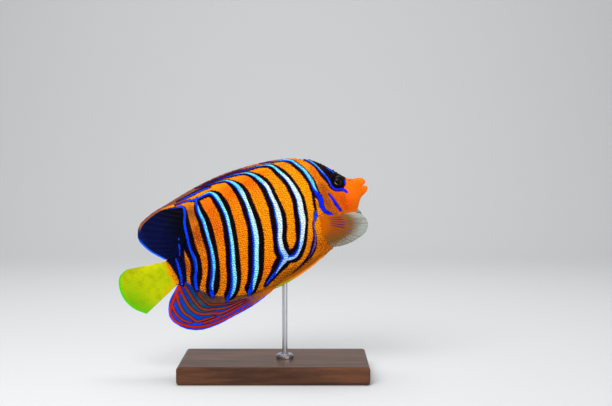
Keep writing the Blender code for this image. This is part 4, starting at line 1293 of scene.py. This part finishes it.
def scaleLattice():  # points on the right flank, and how large the scale at each is
    stations = np.arange(scales["from"], scales["to"], scales["alongStep"])
    draw = np.random.default_rng(scales["seed"])
    smaller, smallerFrom, smallerTo = scales["smallerAhead"]
    places, sizes = [], []
    for number, x in enumerate(stations):
        angle = np.linspace(0.0, math.pi, 400)
        _, back, _, belly, _, halfWidth, widest, edge = smoothAt(ringPlaces, ringRows, [x])[0]
        up = np.cos(angle)
        z = widest + np.where(up > 0, back - widest, widest - belly) * up
        y = halfWidth * np.sin(angle) ** edge
        run = np.concatenate([[0], np.cumsum(np.hypot(np.diff(y), np.diff(z)))])
        small = 1 - smaller * float(fade(x, smallerFrom, smallerTo))
        step = scales["aroundStep"] * small
        spots = np.arange(step * (0.7 if number % 2 else 0.2), run[-1] - 0.4, step)
        shift = draw.uniform(-1, 1, (2, len(spots))) * scales["stray"] * step
        spots = np.clip(spots + shift[0], 0.1, run[-1] - 0.1)
        places += list(zip(x + shift[1], np.interp(spots, run, z)))
        sizes += [small] * len(spots)
    x, z = np.array(places).T
    eyeX, eyeZ = body["eye"]
    snout, lean = scales["bareSnout"]
    bare = np.hypot(x - eyeX, z - eyeZ) < body["eyeRadius"] + scales["bareAroundEye"]
    bare |= x > snout + lean * z
    return x[~bare], z[~bare], np.array(sizes)[~bare]


def scaleTree():  # sets the scale's shape on every point, turned and sized by the point's attributes
    growth = Growth("flankScales", {
        "Length": "Float", "Width": "Float", "Lift": "Float", "Seed": "Int", "Shape": "Object",
    })
    start = growth.start
    sizes = {2: scales["sizes"][0], 3: scales["sizes"][1], "Seed": start["Seed"]}
    random = growth.add("FunctionNodeRandomValue", {"data_type": "FLOAT"}, sizes, 1)
    bulk = {"X": start["Length"], "Y": start["Width"], "Z": start["Lift"]}
    size = growth.add("ShaderNodeCombineXYZ", {}, bulk)
    for share in (growth.attribute("scaleSize", "FLOAT"), random):
        size = growth.add("ShaderNodeVectorMath", {"operation": "SCALE"}, {0: size, "Scale": share})
    turn = growth.attribute("scaleTurn", "FLOAT_VECTOR")
    return growth.finish(growth.add("GeometryNodeInstanceOnPoints", {}, {
        "Points": start["Geometry"],
        "Instance": growth.add("GeometryNodeObjectInfo", {}, {"Object": start["Shape"]}, "Geometry"),
        "Rotation": growth.add("FunctionNodeEulerToRotation", {}, {0: turn}),
        "Scale": size,
    }))


scaleGrowth = scaleTree()


def flankForm(x, z):
    return flankAt(x, z) + reliefAt(x, z)


def flankScales(side):
    x, z, sizes = scaleLattice()
    small = 0.25  # the slopes are taken over this far on each side, mm
    slopeX = flankForm(x + small, z) - flankForm(x - small, z)
    slopeZ = flankForm(x, z + small) - flankForm(x, z - small)
    normal = np.stack([-slopeX / (2 * small), side * np.ones(len(x)), -slopeZ / (2 * small)], -1)
    turn = np.random.default_rng(scales["seed"] + 1).normal(0, scales["strayTurn"], len(x))
    ahead = np.stack([np.cos(turn), 0 * turn, np.sin(turn)], -1)
    return np.stack([x, side * flankForm(x, z), z], -1), normal, ahead, sizes


def finScales(name):
    first, last, reachFirst, reachLast, step = scales["onFins"][name]
    rootSize, smaller = scales["onFinSize"]
    rows = []
    for side in (-1, 1):
        for number, along in enumerate(np.arange(first, last, step)):
            reach = reachFirst + (reachLast - reachFirst) * (along - first) / (last - first)
            length = np.linalg.norm(np.diff(finPlacer(name, 1)([along, along], [0.0, 1.0]), axis=0))
            outStep = scales["alongStep"] * scales["onFinStep"] / length
            start = outStep * (0.5 if number % 2 else 1.0)
            for out in np.arange(start, min(reach, 1 - scales["fromFinEdge"] / length), outStep):
                rows.append((along, out, side, rootSize - smaller * out / reach))
    along, out, side, sizes = np.array(rows).T
    centre, normal, outRun, thick = finForm(name, 1, along, out)
    normal = normal * (np.sign(normal[:, 1]) * side)[:, None]
    return centre + normal * (thick / 2)[:, None], normal, -outRun, sizes


def makeScales(pieceName, spots, material):
    places, normal, ahead, sizes = spots
    up = normal @ turnToRoom.T
    up /= np.linalg.norm(up, axis=1, keepdims=True)
    ahead = ahead @ turnToRoom.T
    ahead = ahead - up * (ahead * up).sum(1)[:, None]
    ahead /= np.linalg.norm(ahead, axis=1, keepdims=True)
    axes = zip(ahead, np.cross(up, ahead), up)
    turns = [Matrix(rows).transposed().to_euler("XYZ")[:] for rows in axes]
    mesh = bpy.data.meshes.new("lattice")
    mesh.from_pydata(inRoom(places).tolist(), [], [])
    giveAttribute(mesh, "scaleTurn", turns, "FLOAT_VECTOR")
    giveAttribute(mesh, "scaleSize", sizes)
    shape, shapePoints = scaleShape()
    values = {name.capitalize(): scales[name] * mm for name in ("length", "width", "lift")}
    values |= {"Seed": scales["seed"], "Shape": shape, "Finish": material}
    made = scaleGrowth.grow("lattice", mesh, values)
    bpy.data.objects.remove(shape)
    giveMarkings(made)
    spread = (places[:, [0, 2]] - scales["bakeFrom"]) / scales["bakeSize"]
    spread[:, 1] += 0.5 * (places[:, 1] > 0)
    local = np.tile(shapePoints[:, :2], (len(places), 1)) * scales["patch"]
    spread = np.repeat(spread, len(shapePoints), axis=0) + local
    corners = np.empty(len(made.loops), int)
    made.loops.foreach_get("vertex_index", corners)
    made.uv_layers.new(name="OFBake").data.foreach_set("uv", spread[corners].ravel())
    print(pieceName + ":", len(places), "scales,", len(made.polygons), "faces")
    newPiece(pieceName, made, material)


# Eyes

eye = {
    "radius": 4.9,
    "depth": 3.5,
    "standsOut": 1.5,
    "lensRise": 0.35,  # the clear front bulges a little
    "lensSpread": 2.6,
    "pupil": 2.1,
    "gleam": 2.85,  # how far behind the middle the pale streak lies
}


def eyePaint(side):
    paint = Paint("eye " + ("left" if side > 0 else "right"))
    place = paint.fishPlace()
    x, _, z = paint.split(place)
    dx, dz = x - body["eye"][0], z - body["eye"][1]
    away = paint.maths("SQRT", dx * dx + dz * dz)
    streaks = paint.noise(place, 1.1, 4.0, 0.7)
    offGleam = paint.maths("ABSOLUTE", dx + dz * 0.4 + eye["gleam"])
    gleam = offGleam.fade(0.75, 0.3) * dz.fade(2.0, 1.2) * dz.fade(-2.9, -2.1)
    pupil = eye["pupil"]
    ring = away.fade(pupil, pupil + 0.12) * away.fade(pupil + 0.45, pupil + 0.2)
    colour = paint.layers(
        (6, 5, 10),
        (streaks.fade(0.4, 0.75), (34, 25, 22)),
        (away.fade(3.4, 4.6), (2, 4, 16)),
        (gleam * (0.95 - dz.fade(-1.6, 1.6) * 0.4), (200, 214, 176)),
        (ring * 0.25, (120, 84, 40)),
        (away.fade(pupil + 0.1, pupil - 0.1), (1, 1, 3)),
    )
    values = {"Base Color": colour, "Roughness": 0.3, "Coat Weight": 0.06, "Coat Roughness": 0.1}
    return paint.finish(values)


def makeEyes():
    x, z = body["eye"]
    out = float(flankAt(x, z)) + eye["standsOut"] - eye["depth"]
    turn = np.linspace(0, 2 * math.pi, 65)[:-1]
    rise = np.linspace(0, math.pi, 41)[1:-1]
    radius = eye["radius"] * np.sin(rise)[:, None]
    height = eye["depth"] * np.cos(rise)[:, None]
    lens = np.where(height > 0, eye["lensRise"] * bump(radius, eye["lensSpread"]), 0)
    front, rear = out + eye["depth"] + eye["lensRise"], out - eye["depth"]
    for side, pieceName, node in ((-1, "eyeRight", "eye_right"), (1, "eyeLeft", "eye_left")):
        y = side * (out + (height + lens) * np.ones_like(turn))
        rings = np.stack([x + radius * np.cos(turn), y, z + radius * np.sin(turn)], -1)
        mesh = closedRings(pieceName, rings, [(x, side * front, z), (x, side * rear, z)])
        newPiece(pieceName, mesh, eyePaint(side), (node,))
    print("eyes made")


# The stand

def woodPaint():
    paint = Paint("plinth wood")
    place = paint.objectPlace()
    rings = paint.noise(paint.stretched(place, (6.0, 60.0, 60.0)), 2.2, 6.0, 0.65)
    fine = paint.noise(paint.stretched(place, (12.0, 420.0, 420.0)), 1.5, 4.0, 0.7)
    colour = paint.layers(
        (58, 34, 22),
        (rings.fade(0.3, 0.7), (98, 60, 38)),
        (fine.fade(0.5, 0.75) * 0.5, (34, 18, 12)),
    )
    values = {"Base Color": colour, "Coat Weight": 0.3, "Coat Roughness": 0.2}
    return paint.finish(values, fine, (0.36, 0.2), 0.35)


def steelPaint():
    paint = Paint("rod steel")
    brushed = paint.noise(paint.stretched(paint.objectPlace(), (900.0, 900.0, 6.0)), 1.0, 3.0, 0.6)
    values = {"Base Color": rgba((190, 190, 196)), "Metallic": 1.0}
    return paint.finish(values, brushed, (0.2, 0.18), 0.2, deep=0.00005)


def dressStand():
    for node, material in (("stand_base", woodPaint()), ("stand_rod", steelPaint())):
        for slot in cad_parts[node].material_slots:
            slot.material = material
    print("stand dressed")


# Studio

studio = {
    "floorTone": (206, 207, 208),
    "halfWide": 3.0,  # the floor, the wall that it bends up into, and the bend, m
    "frontAt": -2.5,
    "wallAt": 1.5,
    "wallHigh": 3.0,
    "bend": 0.6,
    # lamp: its place, what it points at, its width and its power
    "lamps": {
        "keyLamp": ((-0.35, -0.8, 0.8), (0, 0, 0.11), 0.7, 11.0),
        "fillLamp": ((0.6, -0.9, 0.12), (0, 0, 0.11), 0.9, 5.2),
        "topLamp": ((0.0, 0.2, 1.1), (0, 0, 0.11), 0.8, 4.5),
        "wallLamp": ((0.0, 0.35, 1.5), (0, 1.5, 0.4), 1.2, 11.0),
    },
    "airTone": (232, 236, 240),
    "airLight": 0.3,
    "cameraAway": 900.0,
    "cameraUpDeg": 3.0,
    "photoCentre": (29.0, 21.2),  # from the fish's origin to the middle of the picture, mm
    "pictureWide": 489.6,
    "sensor": 36.0,
}


def makeFloor():
    across = np.linspace(-studio["halfWide"], studio["halfWide"], 9)
    bend, bendAt = studio["bend"], studio["wallAt"] - studio["bend"]
    sweep = [(studio["frontAt"], 0.0), (bendAt, 0.0)]
    for step in range(1, 13):
        angle = math.radians(90 * step / 12)
        sweep.append((bendAt + bend * math.sin(angle), bend - bend * math.cos(angle)))
    sweep.append((studio["wallAt"], studio["wallHigh"]))
    points = [(x, y, z) for y, z in sweep for x in across]
    mesh = meshFrom("studioFloor", points, gridFaces(len(sweep), len(across)))
    floor = addObject("studioFloor", mesh)
    values = {"Base Color": rgba(studio["floorTone"]), "Roughness": 0.8}
    mesh.materials.append(Paint("studio floor").finish(values))


def makeLight():
    for name, (spot, aim, wide, power) in studio["lamps"].items():
        data = bpy.data.lights.new(name, "AREA")
        data.shape = "DISK"
        data.size = wide
        data.energy = power
        lamp = addObject(name, data)
        lamp.location = spot
        lamp.rotation_euler = (Vector(aim) - Vector(spot)).to_track_quat("-Z", "Y").to_euler()
    air = bpy.data.worlds.new("studio")
    air.use_nodes = True
    background = air.node_tree.nodes["Background"]
    background.inputs[0].default_value = rgba(studio["airTone"])
    background.inputs[1].default_value = studio["airLight"]
    bpy.context.scene.world = air
    bpy.context.scene.view_settings.view_transform = "Standard"


def makeCamera():
    across, above = studio["photoCentre"]
    target = Vector((pose["acrossMm"] + across, 0, pose["aboveMm"] + above)) * mm
    up = math.radians(studio["cameraUpDeg"])
    back = Vector((0, -math.cos(up), math.sin(up)))
    data = bpy.data.cameras.new("camera")
    data.sensor_width = studio["sensor"]
    data.lens = studio["sensor"] * studio["cameraAway"] / studio["pictureWide"]
    data.clip_end = 20
    camera = addObject("camera", data)
    camera.location = target + back * studio["cameraAway"] * mm
    camera.rotation_euler = (-back).to_track_quat("-Z", "Y").to_euler()
    bpy.context.scene.camera = camera


makeFloor()
makeLight()
makeCamera()
print("studio made")
skinMaterial = skinPaint()
makeSkin(skinMaterial)
dorsalMaterial, analMaterial = finPaint("dorsal", dorsalColour), finPaint("anal", analColour)
makeFin("dorsal", dorsalMaterial, marked=True)
makeFin("anal", analMaterial, marked=True)
makeScales("flankScalesRight", flankScales(-1), skinMaterial)
makeScales("flankScalesLeft", flankScales(1), skinMaterial)
makeScales("dorsalFinScales", finScales("dorsal"), dorsalMaterial)
makeScales("analFinScales", finScales("anal"), analMaterial)
makeFin("caudal", finPaint("caudal", caudalColour))
pectoralMaterial, pelvicMaterial = finPaint("pectoral", pectoralColour), finPaint("pelvic", pelvicColour)
for hand in ("right", "left"):
    makeFin("pectoral", pectoralMaterial, hand)
    makeFin("pelvic", pelvicMaterial, hand)
makeEyes()
dressStand()
